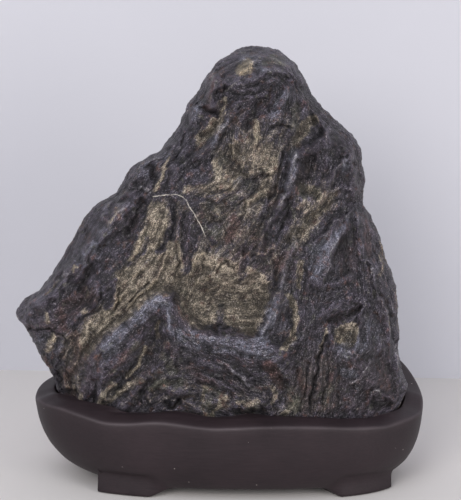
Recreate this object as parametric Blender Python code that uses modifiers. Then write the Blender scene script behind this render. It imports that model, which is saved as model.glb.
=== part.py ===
"""Scholars rock on its carved hardwood stand.

A dark layered stone with a domed crown stands upright in the seat of a low boat-shaped stand.
The stand is one block: rim, seat, wall and feet are carved together. The stone lifts straight out.

Millimetres are used for every size below and turned into metres when a mesh is made.
Origin: the middle of the footprint, on the surface the stand rests on. +X is to the viewer's
right, +Y is away from the viewer, +Z is up.
"""

import math
from typing import NamedTuple

import bmesh
import bpy
import numpy as np
from mathutils import Vector, noise

MM = 0.001

# ---- stone: outline seen from the front, as (height, x) down each side ----
STONE_TOP = 238.5
STONE_BOTTOM = 24.0
LEFT_OUTLINE = [
    (238.5, 13), (238, 9), (235, 1), (229, -7), (222, -12), (213, -17), (207, -22), (198, -25),
    (189, -31), (181, -37), (176, -47), (172, -52), (167, -55), (161, -58), (157, -61), (150, -73),
    (143, -79), (131, -85), (121, -91), (111, -97), (102, -104), (97, -112), (91, -115), (87, -114),
    (83, -111), (74, -107), (65, -103), (56, -97), (43, -92), (32, -86), (26, -70), (24, -50),
]
RIGHT_OUTLINE = [
    (238.5, 13), (238, 20), (236, 29), (230, 36), (221, 41), (213, 45), (203, 56), (190, 70),
    (184, 73), (169, 75), (153, 75), (148, 79), (134, 85), (120, 90), (108, 94), (97, 96),
    (75, 96), (63, 98), (52, 102), (43, 99), (32, 92), (26, 76), (24, 55),
]
# Depth in front of and behind the middle plane, as (height, front, back).
DEPTHS = [
    (238.5, 1, 1), (236, 11, 12), (230, 19, 20), (220, 25, 26), (205, 28, 31), (190, 30, 34),
    (160, 34, 37), (130, 38, 40), (100, 41, 42), (70, 42, 43), (43, 39, 41), (32, 34, 36),
    (26, 24, 26), (24, 16, 18),
]
# How square the plan is at each end, as (height, left, right): 2 is an ellipse.
SQUARENESS = [(238.5, 2.0, 2.0), (200, 2.0, 2.1), (160, 2.0, 2.4), (100, 1.9, 2.8), (24, 1.9, 2.9)]

# ---- relief on the front of the stone ----
# The strokes are laid out on a drawing plane through the middle of the stone, as seen by an
# eye that stands in front of it and looks slightly down.
EYE_DISTANCE = 850.0
EYE_TILT = math.radians(12.0)
EYE_ROLL = math.radians(0.75)
DRAWING_CENTRE = (2.8, 127.0)
RELIEF_FADE = (42.0, 50.0)
GRAIN_SIZE = 17.0
GRAIN_HEIGHT = 1.6
CAD_FACES = 6000


class Stroke(NamedTuple):
    """A ridge (height above 0) or a hollow (below 0) along a line of points on the drawing."""

    name: str
    left_width: float
    right_width: float
    height: float
    line: list


STROKES = [
    Stroke("flank_crest", 9, 9, 5, [(-43, 171), (-55, 153), (-66, 137), (-76, 124), (-88, 113), (-102, 97)]),
    Stroke("flank_hollow", 9, 9, -7, [(-47, 148), (-54, 138), (-62, 131), (-68, 122), (-79, 106)]),
    Stroke("nose_face", 12, 12, -3, [(-86, 100), (-88, 86)]),
    Stroke("nose_crack", 4, 4, -3, [(-110, 84), (-99, 82), (-91, 80)]),
    Stroke("basin", 28, 28, -8, [(-19, 105), (0, 100), (14, 97)]),
    Stroke("apron", 7, 22, 9, [(-78, 53), (-74, 65), (-67, 74), (-51, 87), (-43, 96), (-36, 99), (-29, 97),
                               (-25, 88), (-18, 81), (-7, 77), (6, 78), (27, 71)]),
    Stroke("apron_limb", 8, 8, 4, [(20, 80), (24, 90), (30, 101), (36, 110)]),
    Stroke("spur", 7, 10, 6, [(52, 192), (46, 186), (40, 181), (37, 174), (36, 166), (33, 156), (28, 146),
                              (18, 126)]),
    Stroke("spur_hollow", 8, 8, -5, [(46, 176), (43, 167), (41, 156)]),
    Stroke("right_step", 5, 16, 5, [(66, 137), (60, 127), (58, 120), (51, 110)]),
    Stroke("right_ridge", 7, 8, 4, [(73, 154), (81, 132), (85, 105), (91, 84), (95, 61)]),
    Stroke("overhang_lip", 5, 9, 4, [(56, 93), (66, 101), (75, 102)]),
    Stroke("overhang_hollow", 5, 5, -6, [(59, 88), (67, 92), (75, 96)]),
    Stroke("long_crack", 4, 4, -4, [(55, 80), (51, 64), (48, 44)]),
    Stroke("brow", 4, 11, -3, [(-4, 214), (4, 216), (15, 218), (24, 221), (33, 222), (42, 217)]),
    Stroke("cheek", 7, 7, 3, [(-6, 222), (-8, 212), (-7, 204)]),
    Stroke("left_ridge", 7, 7, 5, [(0, 205), (-3, 196), (-7, 186), (-21, 175), (-25, 168), (-22, 160)]),
    Stroke("oval", 8, 8, 4, [(33, 215), (29, 207), (23, 198)]),
    Stroke("throat", 6, 6, -5, [(17, 207), (14, 198)]),
    Stroke("hollow", 16, 16, -7, [(4, 182), (1, 172), (15, 174), (23, 166)]),
    Stroke("shelf", 10, 10, 4, [(-15, 156), (-4, 158), (8, 161)]),
    Stroke("shelf_under", 6, 6, -4, [(-17, 147), (-4, 145), (8, 150), (15, 156)]),
    Stroke("dark_slot", 7, 7, -5, [(-17, 144), (-21, 127), (-22, 112)]),
    Stroke("inner_rib", 6, 6, 3, [(-24, 148), (-24, 130), (-29, 113)]),
    Stroke("outer_rib", 6, 6, 3, [(-36, 152), (-40, 135), (-45, 120)]),
    Stroke("lower_hollow", 7, 7, -4, [(-44, 77), (-52, 62), (-65, 48)]),
    Stroke("left_strip", 9, 9, -3, [(-81, 83), (-84, 55)]),
    Stroke("corner_ledge", 6, 6, 3, [(77, 47), (88, 52), (97, 53)]),
]

# ---- stand ----
STAND_CENTRE_X = 3.2
STAND_HALF_LENGTH = 108.3
STAND_HALF_DEPTH = 53.0
STAND_SQUARENESS = 2.5
STAND_SEGMENTS = 96
RIM_WIDTH = 9.5
RIM_RISE = 2.7
RIM_EDGE_RADIUS = 0.8
SEAT_CLEARANCE = 0.35
# Height of the rim's outer edge, as (angle in degrees, height): -90 is the front, 0 the right end.
RIM_HEIGHTS = [
    (-90, 41.0), (-60, 41.2), (-30, 42.6), (0, 45.2), (12, 49.0), (20, 54.0), (30, 59.5), (42, 62.5),
    (60, 61.5), (90, 56.5), (120, 51.0), (150, 47.0), (180, 44.5), (210, 44.2), (240, 42.4), (270, 41.0),
]
# The wall, from the underside up, as (height, inset at the left end, at the right end, at the
# front and back). Heights above WALL_FOOT are stretched to meet the rim.
SOLE = -1.5
UNDERSIDE = 4.0
HULL = [
    (4.0, 31.0, 19.0, 10.0), (5.4, 26.5, 16.0, 8.2), (8.6, 19.5, 11.5, 6.0), (12.6, 13.0, 7.5, 4.2),
    (18.0, 7.8, 4.4, 2.4), (24.0, 4.2, 2.2, 1.2), (31.0, 1.6, 0.8, 0.5), (40.2, 0.0, 0.0, 0.0),
]
WALL_FOOT = 8.6

# ---- feet: their outer faces follow a plan drawn in from the rim ----
FOOT_RANGES = [(-69.0, -39.0), (64.5, 94.0)]
FOOT_INSET_END = 10.0
FOOT_INSET_SIDE = 7.5
FOOT_DEPTH = 24.0
FOOT_OVERLAP = 4.0
FOOT_TAPER = 0.95

# The outlines above are drawn about the stone's own middle. This moves them so that the origin
# is the middle of the footprint, level with the soles of the feet.
TO_FOOTPRINT = Vector((1.45, 0.0, -SOLE))


def smooth_step(low: float, high: float, value: np.ndarray) -> np.ndarray:
    """Rise from 0 at low to 1 at high without corners."""
    t = np.clip((value - low) / (high - low), 0.0, 1.0)
    return t * t * (3.0 - 2.0 * t)


def table(rows: list, column: int, heights: np.ndarray) -> np.ndarray:
    """Read one column of a table of heights, listed from the top down."""
    ordered = sorted(rows)
    return np.interp(heights, [row[0] for row in ordered], [row[column] for row in ordered])


def section_curves(levels: int = 160, steps: int = 720, columns: int = 256):
    """Closed plan curves of the stone, evenly spaced along each curve.

    Returns the heights, the points as an array of levels x columns x 2, and the part of the
    stone's skin that lies below each height.
    """
    heights = np.concatenate([
        np.linspace(STONE_BOTTOM, STONE_BOTTOM + 12.0, 24, endpoint=False),
        np.linspace(STONE_BOTTOM + 12.0, STONE_TOP - 9.0, levels - 60, endpoint=False),
        np.linspace(STONE_TOP - 9.0, STONE_TOP, 36),
    ])
    left = table(LEFT_OUTLINE, 1, heights)
    right = table(RIGHT_OUTLINE, 1, heights)
    middle = 0.5 * (left + right)
    angle = np.linspace(0.0, 2.0 * math.pi, steps + 1)
    cosine = np.cos(angle)[None, :]
    sine = np.sin(angle)[None, :]
    on_right = cosine > 0.0
    square = np.where(on_right, table(SQUARENESS, 2, heights)[:, None], table(SQUARENESS, 1, heights)[:, None])
    reach = np.where(on_right, (right - middle)[:, None], (middle - left)[:, None])
    depth = np.where(sine < 0.0, table(DEPTHS, 1, heights)[:, None], table(DEPTHS, 2, heights)[:, None])
    x = middle[:, None] + reach * np.sign(cosine) * np.abs(cosine) ** (2.0 / square)
    y = depth * np.sign(sine) * np.abs(sine) ** (2.0 / square)
    run = np.hypot(np.diff(x, axis=1), np.diff(y, axis=1))
    length = np.concatenate([np.zeros((len(heights), 1)), np.cumsum(run, axis=1)], axis=1)
    points = np.empty((len(heights), columns + 1, 2))
    even = np.linspace(0.0, 1.0, columns + 1)
    for row in range(len(heights)):
        fraction = length[row] / length[row, -1]
        points[row, :, 0] = np.interp(even, fraction, x[row])
        points[row, :, 1] = np.interp(even, fraction, y[row])
    slant = np.linalg.norm(np.diff(points, axis=0), axis=2).mean(axis=1) + np.diff(heights)
    skin = np.concatenate([[0.0], np.cumsum(slant * 0.5 * (length[1:, -1] + length[:-1, -1]))])
    return heights, points, skin / skin[-1]


def wrap_ball(ball: np.ndarray) -> np.ndarray:
    """Move the points of a unit ball onto the plain form of the stone."""
    heights, points, skin = section_curves()
    share = 0.5 * (1.0 + ball[:, 2])
    z = np.interp(share, skin, heights)
    row = np.interp(z, heights, np.arange(len(heights)))
    low_row = np.minimum(row.astype(int), len(heights) - 2)
    row_part = (row - low_row)[:, None]
    turn = np.mod(np.arctan2(ball[:, 1], ball[:, 0]) / (2.0 * math.pi), 1.0)
    column = turn * (points.shape[1] - 1)
    low_column = np.minimum(column.astype(int), points.shape[1] - 2)
    column_part = (column - low_column)[:, None]
    near = points[low_row, low_column] * (1 - column_part) + points[low_row, low_column + 1] * column_part
    far_row = low_row + 1
    far = points[far_row, low_column] * (1 - column_part) + points[far_row, low_column + 1] * column_part
    plan = near * (1 - row_part) + far * row_part
    return np.column_stack([plan, z])


def front_drawing(points: np.ndarray) -> np.ndarray:
    """Where the eye in front of the stone sees each point on the drawing plane."""
    forward = np.array([0.0, math.cos(EYE_TILT), -math.sin(EYE_TILT)])
    upward = np.array([0.0, math.sin(EYE_TILT), math.cos(EYE_TILT)])
    centre = np.array([DRAWING_CENTRE[0], 0.0, DRAWING_CENTRE[1]])
    offset = points - (centre - EYE_DISTANCE * forward)
    scale = EYE_DISTANCE / (offset @ forward)
    across = offset[:, 0] * scale
    up = (offset @ upward) * scale
    x = across * math.cos(EYE_ROLL) + up * math.sin(EYE_ROLL)
    height = up * math.cos(EYE_ROLL) - across * math.sin(EYE_ROLL)
    return np.column_stack([x + DRAWING_CENTRE[0], height + DRAWING_CENTRE[1]])


def smooth_line(line: list, steps: int = 4) -> np.ndarray:
    """A Catmull-Rom curve through the points of a line."""
    points = np.array([line[0], *line, line[-1]], float)
    curve = [points[1]]
    for before, start, end, after in zip(points[:-3], points[1:-2], points[2:-1], points[3:]):
        for step in range(1, steps + 1):
            t = step / steps
            pull = (end - before) * t + (2 * before - 5 * start + 4 * end - after) * t**2
            curve.append(start + 0.5 * (pull + (3 * start - before - 3 * end + after) * t**3))
    return np.array(curve)


def stroke_height(drawing: np.ndarray, stroke: Stroke) -> np.ndarray:
    """Height that one stroke adds at each point of the drawing."""
    curve = smooth_line(stroke.line)
    nearest = np.full(len(drawing), 1e9)
    side = np.zeros(len(drawing))
    for start, end in zip(curve[:-1], curve[1:]):
        along = (end - start) / np.linalg.norm(end - start)
        offset = drawing - start
        part = np.clip(offset @ along, 0.0, np.linalg.norm(end - start))
        gap = np.linalg.norm(offset - part[:, None] * along, axis=1)
        closer = gap < nearest
        leaning = (along[0] * offset[:, 1] - along[1] * offset[:, 0]) / np.maximum(gap, 1e-6)
        side = np.where(closer, np.clip(leaning, -1.0, 1.0), side)
        nearest = np.where(closer, gap, nearest)
    width = stroke.right_width + (stroke.left_width - stroke.right_width) * (0.5 + 0.5 * side)
    return stroke.height * (1.0 - np.clip(nearest / width, 0.0, 1.0) ** 2) ** 2


def relief(points: np.ndarray, normals: np.ndarray) -> np.ndarray:
    """Height of the stone's relief over its plain form."""
    drawing = front_drawing(points)
    total = np.zeros(len(points))
    for stroke in STROKES:
        total += stroke_height(drawing, stroke)
    facing_front = smooth_step(-0.05, 0.45, -normals[:, 1])
    rough = [noise.fractal(Vector(point) / GRAIN_SIZE, 0.9, 2.1, 4) for point in points.tolist()]
    above_seat = smooth_step(RELIEF_FADE[0], RELIEF_FADE[1], points[:, 2])
    return above_seat * (total * facing_front + GRAIN_HEIGHT * np.array(rough))


def principled(name: str, colour: tuple, roughness: float) -> bpy.types.Material:
    """A plain Principled material."""
    material = bpy.data.materials.new(name)
    material.use_nodes = True
    shader = material.node_tree.nodes["Principled BSDF"]
    shader.inputs["Base Color"].default_value = (*colour, 1.0)
    shader.inputs["Roughness"].default_value = roughness
    shader.inputs["Metallic"].default_value = 0.0
    material.diffuse_color = (*colour, 1.0)
    return material


def add_object(name: str, mesh: bpy.types.Mesh, collection: bpy.types.Collection) -> bpy.types.Object:
    """Put a mesh into a collection as an object."""
    placed = bpy.data.objects.new(name, mesh)
    collection.objects.link(placed)
    return placed


def evaluated_mesh(source: bpy.types.Object) -> bpy.types.Mesh:
    """The mesh that an object's modifiers give."""
    graph = bpy.context.evaluated_depsgraph_get()
    return bpy.data.meshes.new_from_object(source.evaluated_get(graph))


def clear_scene() -> None:
    """Remove every object."""
    for old in list(bpy.data.objects):
        bpy.data.objects.remove(old, do_unlink=True)


def make_stone(collection: bpy.types.Collection) -> bpy.types.Object:
    """The stone: a ball wrapped onto its plain form, with ridges and hollows, in flat facets."""
    shape = bmesh.new()
    bmesh.ops.create_icosphere(shape, subdivisions=7, radius=1.0)
    mesh = bpy.data.meshes.new("stone")
    shape.to_mesh(mesh)
    shape.free()
    ball = np.empty(len(mesh.vertices) * 3)
    mesh.vertices.foreach_get("co", ball)
    plain = wrap_ball(ball.reshape(-1, 3))
    mesh.vertices.foreach_set("co", plain.ravel())
    mesh.update()
    normals = np.empty(len(mesh.vertices) * 3)
    mesh.vertex_normals.foreach_get("vector", normals)
    normals = normals.reshape(-1, 3)
    carved = plain + normals * relief(plain, normals)[:, None]
    carved += np.array(TO_FOOTPRINT)
    mesh.vertices.foreach_set("co", (carved * MM).ravel())
    mesh.update()
    dense = add_object("stone_dense", mesh, collection)
    reduce = dense.modifiers.new("facets", "DECIMATE")
    reduce.ratio = CAD_FACES / len(mesh.polygons)
    bpy.context.view_layer.update()
    stone = add_object("stone", evaluated_mesh(dense), collection)
    bpy.data.objects.remove(dense, do_unlink=True)
    stone.data.materials.append(principled("stone", (0.075, 0.07, 0.082), 0.5))
    return stone


def make_seat_cutter(stone: bpy.types.Object, cutters: bpy.types.Collection) -> bpy.types.Object:
    """The stone, grown by the seat's clearance."""
    cutter = add_object("seat_cutter", stone.data.copy(), cutters)
    grow = cutter.modifiers.new("clearance", "DISPLACE")
    grow.direction = "NORMAL"
    grow.mid_level = 0.0
    grow.strength = SEAT_CLEARANCE * MM
    cutter.hide_render = True
    cutter.display_type = "WIRE"
    return cutter


def rim_height(angle: float) -> float:
    """Height of the rim's outer edge at an angle around the stand, with rounded waves."""
    degrees = (math.degrees(angle) + 90.0) % 360.0 - 90.0
    spread = (-6.0, -3.0, 0.0, 3.0, 6.0)
    turned = [(degrees + turn + 90.0) % 360.0 - 90.0 for turn in spread]
    angles = [row[0] for row in RIM_HEIGHTS]
    heights = [row[1] for row in RIM_HEIGHTS]
    return float(np.mean(np.interp(turned, angles, heights)))


def plan_point(angle: float, left_inset: float, right_inset: float, side_inset: float) -> tuple:
    """A point on the stand's plan, drawn in from its outer edge."""
    power = 2.0 / STAND_SQUARENESS
    cosine = math.cos(angle)
    sine = math.sin(angle)
    end_inset = right_inset if cosine > 0.0 else left_inset
    x = (STAND_HALF_LENGTH - end_inset) * math.copysign(abs(cosine) ** power, cosine)
    y = (STAND_HALF_DEPTH - side_inset) * math.copysign(abs(sine) ** power, sine)
    return STAND_CENTRE_X + x, y


def stand_rings(rim: float) -> list:
    """Rings of the stand from the underside up, as (height, left, right and side inset)."""
    stretch = (rim - RIM_EDGE_RADIUS - WALL_FOOT) / (HULL[-1][0] - WALL_FOOT)
    rings = []
    for height, left, right, side in HULL:
        raised = WALL_FOOT + (height - WALL_FOOT) * stretch if height > WALL_FOOT else height
        rings.append((raised, left, right, side))
    edge = RIM_EDGE_RADIUS
    inner = RIM_WIDTH
    centre = 2.6 * RIM_WIDTH
    rings.append((rim, edge, edge, edge))
    rings.append((rim + RIM_RISE, inner, inner, inner))
    rings.append((rim + RIM_RISE, centre, centre, centre))
    return rings


def loft(name: str, columns: list, collection: bpy.types.Collection) -> bpy.types.Object:
    """A closed solid through rings of points: one column of points for each angle, bottom to top."""
    shape = bmesh.new()
    grid = [[shape.verts.new((Vector(point) + TO_FOOTPRINT) * MM) for point in column] for column in columns]
    for here, after in zip(grid, grid[1:] + grid[:1]):
        for row in range(len(here) - 1):
            shape.faces.new((here[row], after[row], after[row + 1], here[row + 1]))
    shape.faces.new([column[0] for column in reversed(grid)])
    shape.faces.new([column[-1] for column in grid])
    mesh = bpy.data.meshes.new(name)
    shape.to_mesh(mesh)
    shape.free()
    return add_object(name, mesh, collection)


def make_stand_block(collection: bpy.types.Collection) -> bpy.types.Object:
    """The block of the stand before its seat is cut: a loft from the underside to the rim."""
    columns = []
    for segment in range(STAND_SEGMENTS):
        angle = 2.0 * math.pi * segment / STAND_SEGMENTS
        column = []
        for height, left, right, side in stand_rings(rim_height(angle)):
            column.append((*plan_point(angle, left, right, side), height))
        columns.append(column)
    return loft("stand", columns, collection)


def make_plinth(cutters: bpy.types.Collection, name: str) -> bpy.types.Object:
    """A plain drum whose outer face is the outer face of the feet."""
    columns = []
    for segment in range(STAND_SEGMENTS):
        angle = 2.0 * math.pi * segment / STAND_SEGMENTS
        plan = plan_point(angle, FOOT_INSET_END, FOOT_INSET_END, FOOT_INSET_SIDE)
        columns.append([(*plan, SOLE), (*plan, UNDERSIDE + FOOT_OVERLAP)])
    return loft(name, columns, cutters)


def make_foot(x_range: tuple, side: float, cutters: bpy.types.Collection, name: str) -> bpy.types.Object:
    """One foot: a tapered block, its outer face trimmed to the plinth's curve."""
    width = x_range[1] - x_range[0]
    reach = 2.0 * FOOT_DEPTH
    height = UNDERSIDE - SOLE + 2.0 * FOOT_OVERLAP
    shape = bmesh.new()
    bmesh.ops.create_cube(shape, size=1.0)
    for vertex in shape.verts:
        taper = FOOT_TAPER if vertex.co.z < 0.0 else 1.0
        x = 0.5 * (x_range[0] + x_range[1]) + vertex.co.x * width * taper
        y = side * (STAND_HALF_DEPTH - FOOT_INSET_SIDE + vertex.co.y * reach)
        z = SOLE + (vertex.co.z + 0.5) * height
        vertex.co = (Vector((x, y, z)) + TO_FOOTPRINT) * MM
    bmesh.ops.recalc_face_normals(shape, faces=shape.faces[:])
    mesh = bpy.data.meshes.new(name)
    shape.to_mesh(mesh)
    shape.free()
    foot = add_object(name, mesh, cutters)
    plinth = make_plinth(cutters, name + "_plinth")
    add_boolean(foot, plinth, "INTERSECT")
    soften = foot.modifiers.new("soft_edges", "BEVEL")
    soften.width = 0.6 * MM
    soften.segments = 1
    soften.angle_limit = math.radians(50.0)
    for guide in (foot, plinth):
        guide.hide_render = True
        guide.display_type = "WIRE"
    return foot


def add_boolean(target: bpy.types.Object, other: bpy.types.Object, operation: str) -> None:
    """Join to or cut from a target with the exact solver."""
    modifier = target.modifiers.new(other.name, "BOOLEAN")
    modifier.operation = operation
    modifier.solver = "EXACT"
    modifier.object = other


def make_stand(stone: bpy.types.Object, parts: bpy.types.Collection, cutters: bpy.types.Collection) -> None:
    """The stand: its block, joined with four feet, with the seat cut to the stone."""
    stand = make_stand_block(parts)
    for side, depth_name in ((-1.0, "front"), (1.0, "back")):
        for x_range, end_name in zip(FOOT_RANGES, ("left", "right")):
            foot = make_foot(x_range, side, cutters, f"foot_{depth_name}_{end_name}")
            add_boolean(stand, foot, "UNION")
    add_boolean(stand, make_seat_cutter(stone, cutters), "DIFFERENCE")
    stand.data.materials.append(principled("stand", (0.038, 0.028, 0.03), 0.6))


def main() -> None:
    """Build the stone and its stand."""
    clear_scene()
    parts = bpy.data.collections.new("scholars_rock")
    cutters = bpy.data.collections.new("cutters")
    bpy.context.scene.collection.children.link(parts)
    bpy.context.scene.collection.children.link(cutters)
    stone = make_stone(parts)
    make_stand(stone, parts, cutters)


main()
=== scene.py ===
"""Scholars rock on its carved hardwood stand: the finished look.

The stone is a dark, water-worn schist: hard folded layers stand proud and are polished, softer
layers between them are worn back to a rough clay colour. The stand is one block of dark-stained
hardwood. Millimetres are used for every size below and turned into metres when a mesh is made.
"""

import logging
import math
from dataclasses import dataclass, field
from enum import Enum
from functools import partial

import bpy
import numpy as np
from mathutils import Matrix, Vector
from mathutils.bvhtree import BVHTree


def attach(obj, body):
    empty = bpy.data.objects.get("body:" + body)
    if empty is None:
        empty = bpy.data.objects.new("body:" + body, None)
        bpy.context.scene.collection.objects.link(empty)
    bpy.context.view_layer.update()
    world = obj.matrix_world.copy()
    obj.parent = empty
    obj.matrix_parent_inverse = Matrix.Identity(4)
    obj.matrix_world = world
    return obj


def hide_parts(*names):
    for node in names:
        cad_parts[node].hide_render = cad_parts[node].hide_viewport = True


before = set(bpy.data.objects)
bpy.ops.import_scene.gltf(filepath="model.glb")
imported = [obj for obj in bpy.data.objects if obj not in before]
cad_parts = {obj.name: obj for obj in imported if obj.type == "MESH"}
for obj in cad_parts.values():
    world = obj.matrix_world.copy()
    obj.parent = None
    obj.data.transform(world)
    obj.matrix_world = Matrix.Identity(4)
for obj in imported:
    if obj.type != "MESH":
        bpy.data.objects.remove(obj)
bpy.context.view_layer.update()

MM = 0.001
BODY = "root"
Line = tuple[tuple[float, float], ...]
Array = np.ndarray
Socket = bpy.types.NodeSocket
# What makes a Mix node mix colours.
RGBA = {"out": 2, "data_type": "RGBA"}
log = logging.getLogger("scholars_rock")


# -------- small tools


def smooth_step(low: float, high: float, value: Array) -> Array:
    """Rise from 0 at low to 1 at high without corners.

    Args:
        low: where the rise starts.
        high: where the rise ends.
        value: the numbers to look up.

    Returns:
        Numbers from 0 to 1.
    """
    t = np.clip((value - low) / (high - low), 0.0, 1.0)
    return t * t * (3.0 - 2.0 * t)


def linear_colour(code: str) -> tuple[float, float, float, float]:
    """Turn an sRGB hex colour to linear RGBA.

    Args:
        code: a colour such as "#a0b1c2".

    Returns:
        Linear red, green and blue, and an alpha of 1.
    """
    parts = [int(code[start:start + 2], 16) / 255.0 for start in (1, 3, 5)]
    linear = [part / 12.92 if part <= 0.04045 else ((part + 0.055) / 1.055) ** 2.4 for part in parts]
    return (linear[0], linear[1], linear[2], 1.0)


def add_node(tree: bpy.types.NodeTree, kind: str, inputs: dict | None = None, out: int | str = 0,
             **settings) -> Socket:
    """Add a shader node with its settings and links.

    Args:
        tree: the node tree.
        kind: the node's type, without "ShaderNode".
        inputs: for each input, by name or number, a value or the socket that feeds it.
        out: which output to give back, by name or number.
        settings: the node's own settings.

    Returns:
        The new node's output.
    """
    node = tree.nodes.new("ShaderNode" + kind)
    for name, value in settings.items():
        setattr(node, name, value)
    for name, value in (inputs or {}).items():
        if isinstance(value, Socket):
            tree.links.new(value, node.inputs[name])
        else:
            node.inputs[name].default_value = value
    return node.outputs[out]


def start_material(name: str) -> tuple:
    """Make an empty node material.

    Args:
        name: the material's name.

    Returns:
        The material, its surface shader, and the function that adds nodes to it.
    """
    material = bpy.data.materials.new(name)
    material.use_nodes = True
    tree = material.node_tree
    return material, tree.nodes["Principled BSDF"], partial(add_node, tree)


def wire(shader: bpy.types.Node, sockets: dict) -> None:
    """Feed a shader's inputs, by name, from other nodes' sockets."""
    for name, socket in sockets.items():
        shader.id_data.links.new(socket, shader.inputs[name])


def apply_modifiers(piece: bpy.types.Object) -> None:
    """Select a piece and apply every modifier it has, in order."""
    bpy.ops.object.select_all(action="DESELECT")
    piece.select_set(True)
    bpy.context.view_layer.objects.active = piece
    for modifier in list(piece.modifiers):
        bpy.ops.object.modifier_apply(modifier=modifier.name)


def vertex_positions(mesh: bpy.types.Mesh) -> Array:
    """Vertex positions in millimetres, as an array of n x 3."""
    flat = np.empty(len(mesh.vertices) * 3, np.float32)
    mesh.vertices.foreach_get("co", flat)
    return flat.reshape(-1, 3).astype(float) / MM


def vertex_normals(mesh: bpy.types.Mesh) -> Array:
    """Vertex normals as an array of n x 3."""
    flat = np.empty(len(mesh.vertices) * 3, np.float32)
    mesh.vertex_normals.foreach_get("vector", flat)
    return flat.reshape(-1, 3).astype(float)


def move_vertices(mesh: bpy.types.Mesh, positions: Array) -> None:
    """Put a mesh's vertices at positions given in millimetres."""
    mesh.vertices.foreach_set("co", (positions * MM).astype(np.float32).ravel())
    mesh.update()


def read_net(net: Array, row: Array, column: Array) -> Array:
    """Values of a net between its points.

    Args:
        net: the values as rows x columns x parts.
        row: where to read it, down.
        column: where to read it, across.

    Returns:
        The values as n x parts.
    """
    i = np.minimum(row.astype(int), net.shape[0] - 2)
    j = np.minimum(column.astype(int), net.shape[1] - 2)
    v, u = (row - i)[:, None], (column - j)[:, None]
    top = net[i, j] * (1 - u) + net[i, j + 1] * u
    low = net[i + 1, j] * (1 - u) + net[i + 1, j + 1] * u
    return top * (1 - v) + low * v


class GradientNoise:
    """Smooth 3-D noise that is the same for a seed on every run."""

    SIZE = 256
    LIFT = 1.7
    APART = 17.3

    def __init__(self, seed: int) -> None:
        """Draw the table of directions."""
        generator = np.random.default_rng(seed)
        self.order = generator.permutation(self.SIZE)
        directions = generator.normal(size=(self.SIZE, 3))
        self.directions = directions / np.linalg.norm(directions, axis=1)[:, None]

    def at(self, points: Array) -> Array:
        """Noise at points, one unit to a wave.

        Args:
            points: positions as n x 3.

        Returns:
            Numbers from about -1 to 1.
        """
        base = np.floor(points).astype(np.int64)
        part = points - base
        ease = part**3 * (part * (part * 6.0 - 15.0) + 10.0)
        mask = self.SIZE - 1
        total = np.zeros(len(points))
        for i in (0, 1):
            row = self.order[(base[:, 0] + i) & mask]
            weight_x = ease[:, 0] if i else 1.0 - ease[:, 0]
            for j in (0, 1):
                column = self.order[(row + base[:, 1] + j) & mask]
                weight_xy = weight_x * (ease[:, 1] if j else 1.0 - ease[:, 1])
                for k in (0, 1):
                    way = self.directions[self.order[(column + base[:, 2] + k) & mask]]
                    dot = (way * (part - (i, j, k))).sum(axis=1)
                    total += weight_xy * (ease[:, 2] if k else 1.0 - ease[:, 2]) * dot
        return total * self.LIFT

    def layers(self, points: Array, octaves: int, gain: float = 0.5) -> Array:
        """Several sizes of noise added up, each half the size of the one before."""
        total = np.zeros(len(points))
        for octave in range(octaves):
            total += gain**octave * self.at(points * 2.0**octave + self.APART * octave)
        return total


# -------- drawing sheet


@dataclass(frozen=True)
class Sheet:
    """The drawing sheet: a plane through the middle of the stone, ruled in square cells.

    The sheet is seen by an eye that stands in front of the stone and looks slightly down. Cells
    are counted from the sheet's top left corner.
    """

    cell: float = 0.55
    columns: int = 461
    rows: int = 500
    eye_distance: float = 850.0
    eye_tilt: float = math.radians(12.0)
    eye_roll: float = math.radians(0.75)
    centre: tuple[float, float] = (4.25, 128.5)

    @property
    def forward(self) -> Array:
        """The way the eye looks."""
        return np.array([0.0, math.cos(self.eye_tilt), -math.sin(self.eye_tilt)])

    @property
    def eye(self) -> Array:
        """Where the eye is, in millimetres."""
        return np.array([self.centre[0], 0.0, self.centre[1]]) - self.eye_distance * self.forward

    @property
    def upward(self) -> Array:
        """The sheet's way up before it is rolled."""
        return np.array([0.0, math.sin(self.eye_tilt), math.cos(self.eye_tilt)])

    @property
    def across(self) -> Array:
        """The sheet's way to the right."""
        return np.array([math.cos(self.eye_roll), 0.0, 0.0]) + self.upward * math.sin(self.eye_roll)

    @property
    def up(self) -> Array:
        """The sheet's way up."""
        return self.upward * math.cos(self.eye_roll) - np.array([math.sin(self.eye_roll), 0.0, 0.0])

    def cells(self, points: Array) -> Array:
        """Where on the sheet the eye sees each point, in cells.

        Args:
            points: positions in millimetres as n x 3.

        Returns:
            Columns and rows as n x 2.
        """
        offset = points - self.eye
        scale = self.eye_distance / (offset @ self.forward) / self.cell
        column = 0.5 * self.columns + (offset @ self.across) * scale
        row = 0.5 * self.rows - (offset @ self.up) * scale
        return np.column_stack([column, row])

    def toward_eye(self, points: Array) -> Array:
        """Unit directions from points to the eye."""
        way = self.eye - points
        return way / np.linalg.norm(way, axis=1)[:, None]


SHEET = Sheet()


def smooth_line(line: Line, steps: int = 4) -> Array:
    """A Catmull-Rom curve through the points of a line.

    Args:
        line: the points, in cells.
        steps: pieces between two points.

    Returns:
        The curve's points as n x 2.
    """
    points = np.array([line[0], *line, line[-1]], float)
    curve = [points[1]]
    for before, start, end, after in zip(points[:-3], points[1:-2], points[2:-1], points[3:]):
        for step in range(1, steps + 1):
            t = step / steps
            pull = (end - before) * t + (2 * before - 5 * start + 4 * end - after) * t**2
            curve.append(start + 0.5 * (pull + (3 * start - before - 3 * end + after) * t**3))
    return np.array(curve)


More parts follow.
